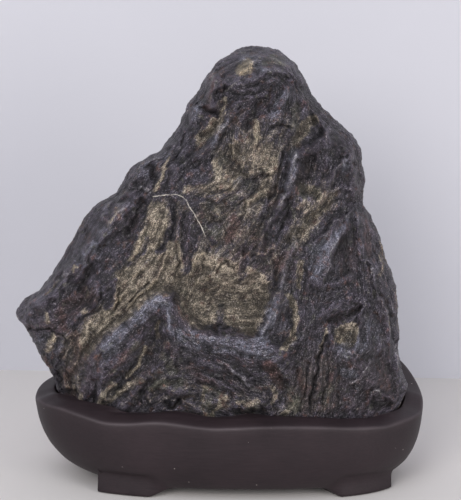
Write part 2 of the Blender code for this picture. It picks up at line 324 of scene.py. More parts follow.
def nearest_on_line(cells: Array, line: Line) -> tuple[Array, Array]:
    """How far each point of the sheet is from a curve, and on which side.

    Args:
        cells: points on the sheet as n x 2.
        line: the curve's points.

    Returns:
        The distance in cells, and the side from -1 (right of the curve) to 1 (left of it).
    """
    curve = smooth_line(line)
    nearest = np.full(len(cells), 1e9)
    side = np.zeros(len(cells))
    for start, end in zip(curve[:-1], curve[1:]):
        length = np.linalg.norm(end - start)
        if length < 1e-6:
            continue
        along = (end - start) / length
        offset = cells - start
        part = np.clip(offset @ along, 0.0, length)
        gap = np.linalg.norm(offset - part[:, None] * along, axis=1)
        closer = gap < nearest
        leaning = (along[1] * offset[:, 0] - along[0] * offset[:, 1]) / np.maximum(gap, 1e-6)
        side = np.where(closer, np.clip(leaning, -1.0, 1.0), side)
        nearest = np.where(closer, gap, nearest)
    return nearest, side


def points_near(cells: Array, line: Line, reach: float) -> Array:
    """Which points of the sheet lie in the box around a line, grown by a reach."""
    low, high = np.min(line, axis=0) - reach, np.max(line, axis=0) + reach
    return np.flatnonzero(((cells > low) & (cells < high)).all(axis=1))


@dataclass(frozen=True)
class Ridge:
    """A ridge (height above 0) or a hollow (below 0) along a line on the sheet.

    Widths are in cells: one for both sides of the line, or left and right, looking along it. Height
    is in millimetres.
    """

    widths: float | tuple[float, float]
    height: float
    line: Line

    def add_to(self, total: Array, cells: Array) -> None:
        """Add this ridge's height at points of the sheet.

        Args:
            total: the heights so far, changed in place.
            cells: the points.
        """
        left, right = np.broadcast_to(self.widths, 2)
        near = points_near(cells, self.line, max(left, right) + 4.0)
        gap, side = nearest_on_line(cells[near], self.line)
        width = right + (left - right) * (0.5 + 0.5 * side)
        slope = 1.0 - np.clip(gap / width, 0.0, 1.0)
        total[near] += self.height * slope**1.5 * (1.0 + 0.35 * (1.0 - slope))


class Tone(Enum):
    """What a mark on the stone's skin is made of; some tones are painted light and shade: a painted sheen,
    painted highlights, and painted shade.
    """

    CLAY = "clay"
    SMOOTH = "smooth"
    RUST = "rust"
    MOSS = "moss"
    PALE = "pale"
    GOLD = "gold"
    SLATE = "blue_grey_and_sheen"
    DEEP = "deep"


@dataclass(frozen=True)
class Mark:
    """A soft mark along a line on the sheet, its width to each side in cells.

    A strength below 0 takes away what the marks before it laid down.
    """

    width: float
    strength: float
    line: Line

    def shape(self, cells: Array) -> Array:
        """How much of the mark lies on each point, from 0 to 1."""
        gap, _ = nearest_on_line(cells, self.line)
        return 1.0 - smooth_step(0.35, 1.0, gap / self.width)

    def add_to(self, total: Array, cells: Array) -> None:
        """Lay this mark over the marks so far.

        Args:
            total: the strengths so far, changed in place.
            cells: the points.
        """
        near = points_near(cells, self.line, self.width + 3.0)
        mark = self.strength * self.shape(cells[near])
        room = 1.0 - np.clip(total[near], 0.0, 1.0) if self.strength > 0.0 else total[near]
        total[near] += mark * room


@dataclass(frozen=True)
class Area(Mark):
    """A soft mark inside a closed line on the sheet, its width being that of its soft edge."""

    def shape(self, cells: Array) -> Array:
        """How much of the mark lies on each point, from 0 to 1."""
        closed = (*self.line, self.line[0])
        gap, _ = nearest_on_line(cells, closed)
        inside = np.zeros(len(cells), bool)
        for (x0, y0), (x1, y1) in zip(smooth_line(closed)[:-1], smooth_line(closed)[1:]):
            if y0 == y1:
                continue
            crosses = (cells[:, 1] < y0) != (cells[:, 1] < y1)
            inside ^= crosses & (cells[:, 0] < x0 + (cells[:, 1] - y0) * (x1 - x0) / (y1 - y0))
        return smooth_step(-self.width, self.width, np.where(inside, gap, -gap))


def marks(areas: tuple, lines: tuple) -> tuple[Mark, ...]:
    """One tone's areas and then its lines, made from rows of width, strength and points."""
    return (*(Area(*row) for row in areas), *(Mark(*row) for row in lines))


# -------- the stone's drawing

# Which way the layers run, as (column, row, degrees): 0 is level, and above 0 rises to the right.
BEDDING = (
    (215, 90, 75), (230, 65, 40), (255, 55, 0), (285, 65, -35), (300, 80, -60), (250, 75, 15),
    (240, 92, -5), (235, 105, 35), (280, 105, 60), (296, 105, 70), (325, 112, -42), (310, 130, 55),
    (340, 150, -55), (345, 170, 80), (205, 115, 45), (190, 130, 60), (175, 150, 55), (165, 175, 55),
    (150, 170, 60), (235, 140, 80), (255, 150, 80), (225, 170, 60), (262, 165, 70), (295, 160, 75),
    (285, 190, 75), (275, 215, 65), (200, 200, 20), (220, 195, 10), (240, 205, 35), (215, 225, 50),
    (240, 235, 55), (180, 230, 80), (165, 240, 70), (150, 230, 65), (140, 260, 60), (120, 240, 55),
    (100, 240, 50), (90, 280, 45), (60, 300, 40), (45, 320, 10), (120, 300, 48), (105, 330, 52),
    (90, 350, 60), (75, 370, 65), (60, 360, 60), (200, 270, 75), (190, 300, 60), (215, 290, 20),
    (240, 300, -5), (260, 290, 40), (225, 315, 0), (300, 230, 60), (320, 215, 55), (340, 210, 50),
    (310, 260, 65), (335, 250, 60), (290, 270, 70), (355, 240, -80), (355, 280, 90), (375, 260, -75),
    (385, 300, -78), (390, 350, -75), (345, 300, 30), (350, 330, 60), (360, 360, 40), (350, 380, 70),
    (380, 390, 20), (310, 300, 80), (300, 330, 80), (300, 390, 82), (325, 380, 78), (340, 400, 75),
    (285, 330, 75), (270, 350, 20), (240, 345, -5), (215, 345, -10), (195, 335, -40), (178, 315, -65),
    (160, 302, 0), (145, 315, 50), (130, 335, 45), (115, 350, 45), (95, 370, 70), (90, 395, 75),
    (165, 330, 80), (150, 350, 55), (140, 370, 55), (120, 400, 50), (160, 385, 40), (180, 370, 20),
    (200, 360, -20), (225, 375, -35), (245, 385, -35), (265, 375, -10), (210, 400, -20),
    (250, 405, -10), (275, 395, 60),
)

RIDGES = tuple(Ridge(*row) for row in (
    # crown
    ((18, 5), 2.1, ((220, 86), (229, 83), (238, 84), (250, 81), (262, 76), (274, 71), (290, 74), (300, 80))),
    ((3, 4), 0.8, ((230, 88), (240, 90), (250, 89), (258, 86), (270, 80), (280, 78), (290, 81), (300, 86))),
    (3, -0.5, ((232, 94), (245, 93), (256, 92), (266, 88))),
    (3, 0.5, ((230, 98), (245, 96), (265, 97))),
    (6, 1.0, ((237, 78), (246, 68), (258, 58))),
    (9, 3.2, ((214, 78), (208, 92), (211, 104))),
    (4, -1.8, ((196, 103), (202, 108), (210, 113), (220, 114))),
    (3, -1.2, ((224, 84), (225, 94), (222, 103), (219, 112))),
    (8, 1.9, ((199, 107), (197, 114), (191, 122))),
    (8, -2.0, ((203, 137), (209, 132), (215, 126))),
    ((5, 6), 2.6, ((229, 115), (225, 122), (220, 130), (216, 140), (211, 147), (203, 153), (194, 158))),
    ((2.5, 3), -0.8, ((223, 134), (218, 144), (213, 152), (210, 160))),
    (7, 1.3, ((238, 102), (232, 114), (228, 126))),
    (8, -2.2, ((263, 102), (257, 109), (252, 118), (246, 126))),
    (3, -0.8, ((272, 86), (270, 97), (266, 107))),
    ((10, 9), 2.0, ((287, 88), (282, 103), (275, 117))),
    (2, 0.5, ((288, 87), (287, 97), (283, 106))),
    (2, 0.5, ((279, 93), (276, 103), (270, 113))),
    (2.5, -1.2, ((271, 127), (280, 124), (285, 127), (291, 126))),
    (10, -1.6, ((296, 140), (304, 129), (314, 119))),
    (5, 1.0, ((297, 104), (295, 116), (291, 130))),
    ((4, 5), 1.0, ((300, 98), (309, 108), (319, 117), (326, 127))),
    (8, 1.5, ((184, 128), (174, 146), (160, 156), (146, 160))),
    (4, -0.9, ((188, 122), (184, 140), (178, 156))),
    # spur, from the right shoulder down to the middle
    ((11, 5), 3.8, ((320, 118), (327, 130), (323, 141), (311, 147), (300, 151), (294, 157), (292, 167),
     (290, 178), (287, 188), (284, 196), (280, 205))),
    ((7, 5), 2.7, ((284, 196), (280, 205), (275, 213), (270, 222), (265, 230), (262, 240), (258, 252))),
    (3, -1.0, ((286, 149), (281, 163), (279, 178), (275, 191), (270, 200))),
    (12, -2.4, ((311, 158), (309, 170), (305, 184))),
    (3, 0.9, ((300, 158), (308, 152), (316, 152), (318, 158))),
    (2, -0.6, ((301, 154), (309, 149), (316, 149))),
    (4, -1.6, ((290, 196), (287, 211), (282, 226), (276, 238))),
    (3, 0.7, ((282, 229), (276, 238))),
    # right shoulder
    ((5, 9), 1.9, ((326, 183), (334, 172), (342, 165), (350, 157))),
    (3, -0.5, ((322, 176), (330, 165), (340, 157))),
    ((6, 4), 1.1, ((326, 195), (336, 190), (346, 188), (356, 191))),
    (3, -0.6, ((330, 201), (343, 199), (356, 202))),
    ((6, 10), 1.7, ((350, 142), (353, 165), (355, 190))),
    (8, -1.6, ((306, 190), (314, 194))),
    # facet and the trough above it
    (9, -2.3, ((331, 195), (320, 210), (306, 225), (290, 241))),
    ((5, 3), 1.3, ((354, 211), (345, 217), (336, 220), (331, 227), (326, 234), (318, 239), (306, 248))),
    ((6, 20), 3.0, ((347, 228), (341, 238), (335, 244), (332, 252), (330, 262), (327, 271), (320, 280))),
    (11, -1.6, ((345, 242), (345, 258), (347, 272))),
    (4, 1.4, ((357, 214), (359, 232), (362, 256), (370, 260), (374, 270), (376, 284), (379, 300))),
    ((4, 6), 1.1, ((316, 286), (330, 284), (340, 280), (352, 276))),
    (3, -0.5, ((318, 291), (332, 290), (344, 286))),
    (3.5, -0.8, ((302, 260), (300, 275), (298, 289))),
    (5, 1.0, ((309, 268), (308, 284), (306, 300))),
    # overhang, its floor, and the speckled bulge below
    ((11, 5), 2.5, ((322, 318), (332, 309), (342, 303), (352, 299), (362, 303))),
    (6, -2.4, ((330, 321), (341, 317), (350, 314), (360, 307))),
    (10, -2.2, ((340, 330), (349, 338))),
    ((5, 4), 1.4, ((363, 304), (361, 320), (358, 335), (355, 347), (345, 351), (335, 348), (331, 335))),
    (18, 2.5, ((340, 355), (356, 362), (364, 374))),
    (2.5, 0.7, ((351, 384), (360, 379), (366, 371), (369, 360))),
    (2.5, 0.5, ((340, 355), (347, 353), (353, 353))),
    (2.5, 0.5, ((355, 352), (360, 358), (366, 366))),
    (3, 0.5, ((339, 372), (348, 370), (356, 372))),
    ((3, 4), 1.3, ((368, 403), (371, 395), (378, 391), (386, 394), (393, 400))),
    (8, -2.2, ((374, 404), (388, 404))),
    (8, 1.5, ((350, 395), (352, 412))),
    # right flank
    ((4, 12), 2.5, ((381, 300), (386, 310), (389, 320), (391, 332), (394, 345), (397, 357), (400, 371),
     (405, 384))),
    (2, -0.5, ((392, 322), (394, 333), (396, 343))),
    (4, -1.0, ((383, 294), (388, 305), (391, 315))),
    (6, -0.8, ((377, 243), (383, 262), (387, 280), (390, 296))),
    (3, -0.7, ((390, 366), (393, 380), (396, 395))),
    # left shoulder
    (5, -2.0, ((151, 165), (153, 174), (156, 182))),
    (3, 1.0, ((170, 156), (163, 169), (160, 180), (155, 189))),
    ((3, 4), 1.0, ((127, 194), (136, 188), (150, 187))),
    (7, 1.5, ((140, 172), (130, 184))),
    (6, 1.1, ((176, 168), (172, 182), (170, 194))),
    (1.8, -0.7, ((128, 196), (121, 206), (117, 210), (112, 216), (104, 222))),
    ((12, 14), 4.4, ((131, 198), (118, 212), (106, 228), (95, 244), (86, 257), (78, 267), (66, 277),
     (54, 288), (42, 302))),
    (6, -2.0, ((102, 245), (93, 251), (89, 258), (88, 268), (86, 275), (83, 282), (78, 290))),
    (11, -2.9, ((141, 206), (135, 220), (127, 234))),
    (2.5, 0.9, ((139, 204), (133, 212), (128, 222), (120, 228), (111, 233))),
    (2, 0.6, ((142, 215), (137, 226), (130, 236))),
    (4, -1.2, ((172, 202), (173, 222), (171, 240))),
    (3.5, 0.8, ((179, 211), (178, 228), (176, 243))),
    # nose and the strip under it
    ((14, 11), 1.7, ((36, 298), (28, 312))),
    (2.2, -1.3, ((24, 327), (32, 329), (40, 331), (50, 330.5), (59, 334))),
    (12, -1.4, ((86, 300), (72, 306), (58, 320))),
    (5, 1.3, ((54, 337), (50, 347))),
    (6, 1.3, ((60, 342), (56, 354))),
    (3, -0.9, ((62, 336), (66, 345), (60, 358), (56, 366))),
    (4, -1.2, ((52, 362), (56, 372), (60, 384))),
    (4, 1.0, ((80, 340), (79, 356), (76, 372))),
    (5, -1.0, ((70, 352), (66, 366), (70, 382))),
    (5, 1.1, ((76, 388), (80, 398))),
    (6, -1.3, ((62, 390), (70, 395))),
    # tan band
    (3, 1.0, ((166, 252), (163, 263), (158, 272), (153, 281))),
    ((3, 2.5), 1.3, ((157, 279), (150, 288), (142, 294), (135, 300), (127, 308))),
    (2, -1.0, ((150, 283), (141, 290), (135, 296), (129, 301))),
    (2.5, 1.0, ((126, 289), (120, 298), (113, 306))),
    (6, 1.6, ((114, 281), (112, 294), (110, 305))),
    (2, -0.9, ((118, 288), (118, 300), (115, 310))),
    (6, 1.4, ((97, 284), (94, 295), (92, 303))),
    (2.5, -0.9, ((102, 292), (97, 303), (90, 310))),
    (3, -1.2, ((110, 301), (97, 309), (88, 314), (80, 320), (71, 330))),
    (3.5, 0.9, ((179, 246), (180, 258), (181, 271))),
    (2, 0.7, ((157, 258), (161, 252), (166, 249), (170, 252))),
    (3, -1.1, ((159, 247), (165, 246))),
    (8, -1.1, ((167, 232), (160, 244))),
    (2, -0.7, ((173, 279), (176, 272), (178, 262))),
    (4, -0.8, ((152, 262), (143, 272), (135, 284))),
    (3, 0.7, ((140, 240), (134, 256), (124, 268), (117, 278))),
    (3, 0.7, ((120, 312), (108, 322), (98, 334))),
    (3, -0.5, ((112, 312), (102, 322), (94, 332))),
    (4, 1.0, ((88, 318), (86, 332), (84, 345))),
    # middle: slot, lumps, pit and arches
    ((7, 6), 0.7, ((192, 216), (188, 238), (186, 258), (187, 276))),
    (1.6, 0.5, ((186, 240), (187, 258), (186, 274))),
    (3, 0.8, ((203, 208), (197, 216))),
    ((8, 7), 2.1, ((217, 200), (216, 213))),
    (2.2, -0.6, ((210, 222), (218, 222), (225, 218), (232, 212), (236, 206))),
    (6, 1.0, ((214, 228), (213, 240))),
    (2.2, -0.35, ((223, 223), (226, 235), (222, 246))),
    (2, -0.8, ((208, 194), (222, 190), (235, 184))),
    (2, -0.8, ((208, 200), (220, 205), (230, 206), (244, 202))),
    (3, 0.8, ((212, 197), (224, 193), (234, 187))),
    ((3, 4), 1.3, ((248, 202), (258, 194), (268, 190))),
    ((4, 3.5), -2.2, ((254, 178), (262, 176), (268, 175))),
    (3, 0.8, ((248, 172), (256, 170), (265, 167))),
    ((22, 18), -3.2, ((230, 158), (236, 172), (252, 182))),
    (5, 1.1, ((233, 189), (240, 180))),
    (3, 0.8, ((233, 144), (232, 160))),
    (4, 0.8, ((256, 122), (257, 134), (255, 146))),
    (3, -0.7, ((246, 206), (241, 220), (234, 228))),
    (6, -0.6, ((242, 248), (244, 262), (242, 278))),
    (2.5, -1.1, ((216, 276), (219, 267), (226, 262), (233, 268))),
    (3, 0.8, ((222, 271), (230, 270))),
    (2.2, -1.0, ((212, 297), (217, 290), (223, 283))),
    (2, -0.8, ((207, 301), (212, 293))),
    (2.5, 1.0, ((194, 270), (197, 259), (202, 254), (207, 258))),
    (2.2, -0.9, ((202, 259), (204, 268))),
    (3, -0.9, ((236, 284), (243, 286), (248, 283))),
    (3, 0.9, ((256, 258), (266, 252), (276, 246))),
    (6, 1.8, ((296, 236), (290, 250), (284, 264), (283, 280), (278, 296))),
    (3, -0.8, ((275, 262), (276, 280), (272, 294))),
    ((7, 6), 1.3, ((264, 254), (268, 264))),
    # basin and apron
    (34, -4.9, ((195, 290), (220, 297), (246, 303))),
    ((11, 38), 8.1, ((84, 385), (90, 362), (103, 346), (118, 334), (133, 320), (147, 305), (160, 298),
     (172, 304), (180, 319), (192, 333), (212, 340), (236, 339), (256, 345), (275, 352))),
    (13, 4.4, ((260, 345), (265, 330), (270, 316), (277, 300))),
    (14, -1.8, ((153, 312), (157, 328), (150, 346), (136, 366), (112, 390))),
    (3, 0.9, ((147, 308), (155, 300), (164, 301), (172, 308))),
    (2, 0.6, ((152, 306), (161, 304), (169, 309))),
    (4, 1.3, ((166, 312), (170, 324), (170, 336))),
    (2.5, -0.8, ((163, 320), (167, 330), (170, 341))),
    (4, -1.2, ((174, 298), (178, 308), (180, 318))),
    (2.2, 0.8, ((174, 326), (180, 333), (186, 331), (192, 336), (199, 341), (207, 342), (211, 338),
     (222, 340), (231, 336), (239, 341))),
    (2.2, 0.7, ((178, 340), (187, 344), (196, 349), (206, 350))),
    (2.2, -0.5, ((180, 337), (190, 341), (199, 346), (212, 345), (226, 346), (238, 347))),
    (2.2, 0.7, ((210, 353), (222, 352), (233, 354), (243, 350))),
    (2.2, 0.7, ((243, 346), (252, 350), (262, 352), (268, 358))),
    (3, -0.7, ((214, 328), (219, 323), (226, 328))),
    (3, 0.9, ((281, 352), (291, 347), (299, 340), (304, 331), (307, 319))),
    (2.4, -0.7, ((283, 345), (289, 340), (295, 333))),
    (5, -1.3, ((291, 302), (290, 318), (293, 334))),
    (8, -1.8, ((262, 368), (276, 372), (284, 384))),
    ((4, 3), 1.6, ((214, 363), (224, 364), (232, 371), (240, 378), (251, 386))),
    (3, -0.7, ((205, 372), (216, 378), (230, 384), (242, 392))),
    (4, 1.0, ((210, 369), (220, 369))),
    (5, -1.4, ((200, 382), (214, 386), (232, 396))),
    (9, 1.9, ((205, 404), (222, 398))),
    (8, 1.9, ((248, 405), (258, 404))),
    ((7, 5), -4.0, ((238, 414), (250, 412.5), (263, 415))),
    (5, 1.3, ((272, 392), (278, 402), (284, 412))),
    ((5, 4), 1.4, ((288, 398), (294, 404), (288, 412))),
    # lower left
    (3, 1.3, ((146, 347), (142, 358), (135, 369), (126, 377))),
    (3, -1.2, ((137, 358), (131, 368), (122, 378))),
    (3, 0.9, ((124, 366), (116, 372), (107, 378))),
    (3, -0.9, ((120, 374), (110, 382), (100, 390))),
    (4, 1.6, ((142, 379), (128, 386), (117, 394), (108, 401))),
    (4, 1.4, ((114, 384), (106, 392), (99, 401))),
    (4, -2.0, ((96, 388), (90, 397), (86, 404))),
    ((9, 8), 2.1, ((137, 388), (128, 398), (120, 406))),
    ((4, 3), 1.6, ((161, 379), (153, 386), (148, 394), (150, 402))),
    (3, -1.1, ((146, 382), (142, 392), (141, 404))),
    (9, 2.3, ((164, 387), (176, 391), (184, 386))),
    ((5, 4), -3.2, ((164, 404), (172, 407), (179, 402))),
    (5, 1.3, ((172, 360), (170, 372), (180, 376))),
    (5, 1.4, ((188, 402), (196, 409), (204, 413))),
    (2.5, -0.9, ((184, 398), (192, 396), (202, 399))),
    # split layers at the lower right
    (2.8, -1.7, ((326, 336), (321, 352), (318, 368), (314, 384), (311, 398), (309, 414))),
    (2.2, -1.0, ((329, 366), (326, 384), (322, 402), (320, 414))),
    (2.2, -0.9, ((309, 362), (306, 380), (303, 398), (300, 412))),
    (3, 0.9, ((325, 345), (322, 362), (319, 380), (316, 400))),
    (3, 0.8, ((313, 356), (309, 374), (306, 394))),
    (3, 0.8, ((302, 362), (299, 380), (295, 396))),
    (3, 0.8, ((333, 374), (330, 392), (327, 408))),
    (3, -0.8, ((339, 372), (338, 390), (337, 412))),
))

VEIN = ((161, 195.5), (165, 195), (170, 194.8), (175, 194.5), (181, 196), (186, 200), (189, 206), (193, 212),
        (197, 219), (200, 224), (203, 231), (206, 239), (210, 244))

# Each tone's areas and lines, as (width, strength, points). A strength below 0 takes away.
CLAY_AREAS = (
    # the worn zones, each edge running into a wider zone of thin patches
    (9, 0.3, ((222, 98), (244, 122), (262, 118), (292, 112), (316, 122), (304, 146), (284, 156), (281, 196),
     (264, 240), (292, 244), (300, 262), (284, 300), (262, 332), (230, 328), (196, 326), (178, 300),
     (150, 297), (112, 328), (88, 350), (74, 350), (84, 318), (112, 284), (140, 238), (146, 204), (170, 196),
     (200, 206), (206, 178), (214, 150), (216, 122))),
    (9, 0.25, ((300, 160), (322, 170), (340, 196), (322, 226), (300, 250), (284, 236), (290, 200))),
    (10, 0.2, ((100, 388), (140, 350), (160, 340), (186, 362), (226, 384), (284, 372), (330, 352),
     (338, 410), (280, 418), (200, 416), (150, 408), (100, 408))),
    (5, 1.0, ((152, 203), (166, 208), (167, 232), (175, 246), (184, 262), (183, 284), (170, 290), (156, 294),
     (146, 302), (133, 315), (118, 326), (104, 336), (92, 350), (85, 352), (82, 338), (86, 322), (100, 310),
     (110, 300), (112, 282), (120, 268), (132, 254), (140, 238), (145, 220))),
    (4, 1.0, ((182, 270), (192, 258), (202, 250), (216, 258), (232, 262), (250, 268), (264, 276), (269, 290),
     (266, 304), (260, 322), (252, 336), (242, 331), (234, 327), (226, 326), (222, 320), (216, 319),
     (210, 325), (201, 330), (190, 324), (182, 314), (178, 302), (176, 288))),
    (6, 0.5, ((216, 152), (230, 142), (250, 140), (264, 146), (274, 158), (271, 172), (256, 171), (246, 177),
     (232, 178), (221, 172))),
    (5, 0.6, ((326, 193), (335, 196), (324, 213), (308, 230), (296, 246), (287, 240), (298, 223),
     (312, 206))),
    (2, 1.0, ((337, 327), (346, 322), (355, 323), (357, 332), (354, 345), (344, 345), (334, 341))),
    (6, 0.45, ((62, 331), (84, 331), (88, 352), (83, 376), (81, 398), (72, 398), (62, 384), (60, 362))),
    (8, 0.15, ((212, 205), (240, 196), (262, 196), (262, 232), (252, 250), (240, 262), (216, 256),
     (206, 238))),
    (5, 0.25, ((296, 350), (330, 352), (334, 380), (336, 410), (306, 414), (288, 412), (286, 392),
     (296, 372))),
)
CLAY_LINES = (
    (9, 1.0, ((200, 140), (208, 132), (216, 125))),
    (2.4, 0.9, ((226, 99), (224, 108), (220, 120), (217, 125))),
    (4, 0.9, ((255, 121), (257, 132), (256, 146))),
    (7, 0.9, ((297, 141), (303, 130), (313, 119))),
    (5, 0.7, ((214, 160), (220, 180), (232, 186))),
    (3, 0.9, ((247, 203), (258, 195), (269, 190))),
    (3, 0.9, ((169, 157), (163, 170), (160, 180), (155, 189))),
    (5, 0.8, ((302, 186), (312, 190), (319, 196))),
    (3.5, 0.8, ((301, 262), (299, 288))),
    (4.5, 0.9, ((288, 296), (294, 310), (295, 325), (291, 340), (284, 348))),
    (2.5, 0.9, ((326, 330), (323, 340), (320, 350))),
    (2.5, 0.8, ((158, 322), (157, 330), (159, 338))),
    (3, 0.9, ((146, 346), (142, 358), (135, 369), (127, 377))),
    (4, 0.8, ((142, 379), (128, 386), (117, 394), (108, 402))),
    (4, 0.7, ((114, 384), (106, 392), (100, 402), (102, 410))),
    (3.5, 0.7, ((206, 386), (203, 394), (202, 400))),
    (4, 0.9, ((204, 417), (212, 414), (220, 405), (224, 400))),
    (4, 0.6, ((240, 400), (247, 404), (258, 402))),
    (3, 0.7, ((284, 416), (288, 411), (296, 402))),
    (3.5, 0.7, ((272, 386), (276, 394), (272, 402))),
    (3, 0.7, ((74, 386), (80, 394), (82, 402))),
    (5, 1.0, ((53, 336), (51, 343), (48, 350))),
    (3, 0.8, ((47, 314), (47, 323))),
    (3, 0.6, ((381, 242), (383, 262), (381, 276))),
    (4, 0.5, ((240, 215), (250, 203), (262, 196))),
    (3, 0.7, ((86, 289), (88, 298), (84, 312))),
    (10, 0.6, ((270, 150), (272, 172), (266, 192))),
    (7, 0.6, ((186, 190), (200, 190), (214, 186), (230, 180))),
    (7, 0.5, ((240, 176), (232, 186))),
    (8, 0.4, ((306, 205), (312, 220), (304, 236))),
    (6, 0.5, ((204, 204), (208, 214))),
    (12, 0.5, ((190, 262), (200, 282), (192, 304))),
    (4, 0.6, ((179, 244), (180, 260), (179, 276))),
    # dark bands that cross the worn zones
    (3.5, -0.85, ((172, 204), (173, 222), (171, 240))),
    (9, -0.8, ((190, 216), (188, 240), (187, 268))),
    (4, -0.7, ((148, 239), (137, 260), (126, 264))),
    (5, -0.8, ((170, 232), (164, 246), (158, 250))),
    (6, -0.85, ((113, 282), (112, 294), (109, 306))),
    (6, -0.8, ((98, 285), (93, 298), (89, 306))),
    (7, -0.7, ((242, 250), (244, 262), (242, 276))),
    (6, -0.8, ((214, 226), (213, 242))),
    (5, -0.6, ((222, 308), (220, 318))),
)
RUST_AREAS = (
    (9, 0.45, ((215, 215), (244, 210), (262, 232), (292, 240), (300, 262), (292, 284), (262, 286),
     (236, 284), (222, 256))),
)
RUST_LINES = (
    # brown and red
    (6, 0.7, ((236, 220), (232, 230), (230, 240))),
    (5, 0.7, ((200, 208), (203, 216))),
    (4, 0.6, ((166, 254), (160, 268), (154, 280))),
    (3, 0.8, ((271, 88), (269, 100), (266, 107))),
    (4, 0.7, ((301, 106), (306, 101))),
    (6, 0.6, ((275, 201), (270, 210))),
    (16, 0.6, ((88, 296), (70, 308), (60, 322))),
    (9, 0.7, ((74, 335), (78, 360), (66, 378), (74, 396))),
    (3.5, 1.0, ((45, 357), (47, 362), (51, 368))),
    (9, 0.8, ((268, 366), (276, 374), (280, 384))),
    (8, 0.5, ((192, 366), (200, 378), (214, 386))),
    (6, 0.6, ((300, 372), (304, 392))),
    (4, 0.6, ((331, 372), (330, 386))),
    (5, 0.6, ((366, 216), (367, 240), (368, 256))),
    (5, 0.6, ((380, 296), (386, 304))),
    (7, 0.5, ((280, 265), (288, 252))),
    (9, 0.4, ((30, 328), (46, 326))),
    (6, 0.6, ((130, 350), (116, 366), (104, 378))),
    (7, 0.5, ((385, 350), (384, 372), (386, 388))),
    (5, 0.6, ((213, 76), (207, 108))),
)
MOSS_LINES = (
    # green
    (7, 0.6, ((267, 61), (276, 57), (284, 62))),
    (9, 0.6, ((295, 108), (295, 128))),
    (10, 0.6, ((216, 156), (222, 162))),
    (12, 0.5, ((214, 203), (222, 214), (215, 232))),
    (9, 0.6, ((250, 184), (258, 190))),
    (10, 0.6, ((302, 190), (316, 194))),
    (10, 0.6, ((206, 388), (218, 398), (206, 408))),
    (8, 0.7, ((152, 388), (160, 382), (176, 384), (182, 380))),
    (9, 0.6, ((166, 356), (172, 370))),
    (10, 0.5, ((100, 404), (116, 392))),
    (10, 0.6, ((290, 392), (296, 404), (288, 412))),
    (8, 0.6, ((329, 388), (326, 404))),
    (6, 0.5, ((132, 350), (138, 344))),
    (6, 0.5, ((248, 408), (258, 406))),
)
PAINTED_HIGHLIGHT_LINES = (
    # painted highlights: pale lines on crests and folds, where they catch the light
    (2.5, 0.54, ((133, 188), (138, 187.5), (144, 188.5), (152, 190))),
    (2, 0.42, ((128, 200), (121, 207), (113, 218), (107, 227))),
    (2, 0.36, ((88, 244), (86, 254), (83, 265))),
    (2.5, 0.42, ((296, 152), (296, 160))),
    (1.7, 0.5, ((295, 154), (292, 176), (287, 190), (281, 204))),
    (1.6, 0.36, ((275, 210), (271, 223))),
    (1.6, 0.42, ((352, 212), (345, 217), (336, 220), (331, 226), (326, 234), (318, 238), (306, 248))),
    (2, 0.42, ((344, 232), (341, 238), (335, 243), (332, 250), (330, 262), (326, 273))),
    (2, 0.3, ((332, 191), (345, 188), (355, 190))),
    (1.8, 0.3, ((330, 178), (340, 166), (350, 158))),
    (1.6, 0.36, ((363, 257), (370, 260), (373, 268), (376, 284), (378, 300))),
    (2, 0.3, ((319, 286), (331, 283), (340, 279))),
    (2, 0.36, ((385, 308), (389, 320), (391, 332), (394, 345), (397, 357), (400, 371), (405, 384))),
    (1.8, 0.48, ((351, 384), (360, 379), (366, 371), (369, 360))),
    (1.6, 0.42, ((341, 355), (347, 353), (353, 353))),
    (2, 0.42, ((356, 353), (360, 357), (365, 356))),
    (1.8, 0.3, ((340, 370), (348, 370), (356, 375))),
    (2, 0.54, ((370, 394), (374, 391), (380, 391))),
    (1.8, 0.42, ((366, 323), (368, 316))),
    (1.8, 0.36, ((334, 343), (341, 345), (348, 347))),
    (2, 0.48, ((282, 281), (286, 285), (283, 289))),
    (1.6, 0.42, ((270, 316), (275, 317))),
    (1.6, 0.36, ((165, 300), (170, 305))),
    (1.6, 0.36, ((150, 303), (160, 301), (166, 303))),
    (2, 0.36, ((112, 331), (118, 333))),
    (2, 0.3, ((114, 350), (120, 347), (126, 350))),
    (1.6, 0.42, ((174, 326), (180, 333), (186, 331))),
    (2, 0.6, ((193, 337), (198, 341))),
    (1.6, 0.36, ((203, 342), (208, 342), (211, 338), (222, 340), (231, 336), (239, 341))),
    (1.6, 0.36, ((185, 344), (192, 347), (199, 350))),
    (1.8, 0.3, ((212, 353), (224, 352), (234, 353))),
    (2, 0.36, ((252, 350), (262, 351), (267, 358))),
    (2.4, 0.48, ((218, 363), (226, 364), (233, 371), (240, 378), (251, 386))),
    (1.8, 0.48, ((211, 374), (219, 374))),
    (2, 0.42, ((255, 403), (261, 403))),
    (1.6, 0.36, ((290, 346), (296, 343), (300, 338), (305, 330))),
    (2, 0.42, ((186, 380), (191, 382))),
    (2, 0.36, ((158, 386), (164, 389), (170, 387))),
    (2, 0.3, ((125, 388), (133, 387))),
    (2, 0.36, ((276, 394), (281, 395))),
    (1.6, 0.3, ((206, 82), (203, 92))),
    (1.8, 0.3, ((218, 80), (216, 92))),
    (1.6, 0.3, ((232, 87), (240, 90), (250, 89), (258, 86))),
    (1.6, 0.24, ((270, 79), (280, 77), (290, 80))),
    (2, 0.24, ((288, 88), (286, 98), (282, 106))),
    (2, 0.24, ((225, 122), (218, 134), (213, 146))),
    (1.8, 0.3, ((182, 143), (176, 152), (171, 161))),
    (2, 0.24, ((157, 156), (148, 162))),
    (2.5, 0.54, ((68, 273), (62, 277), (57, 281))),
)
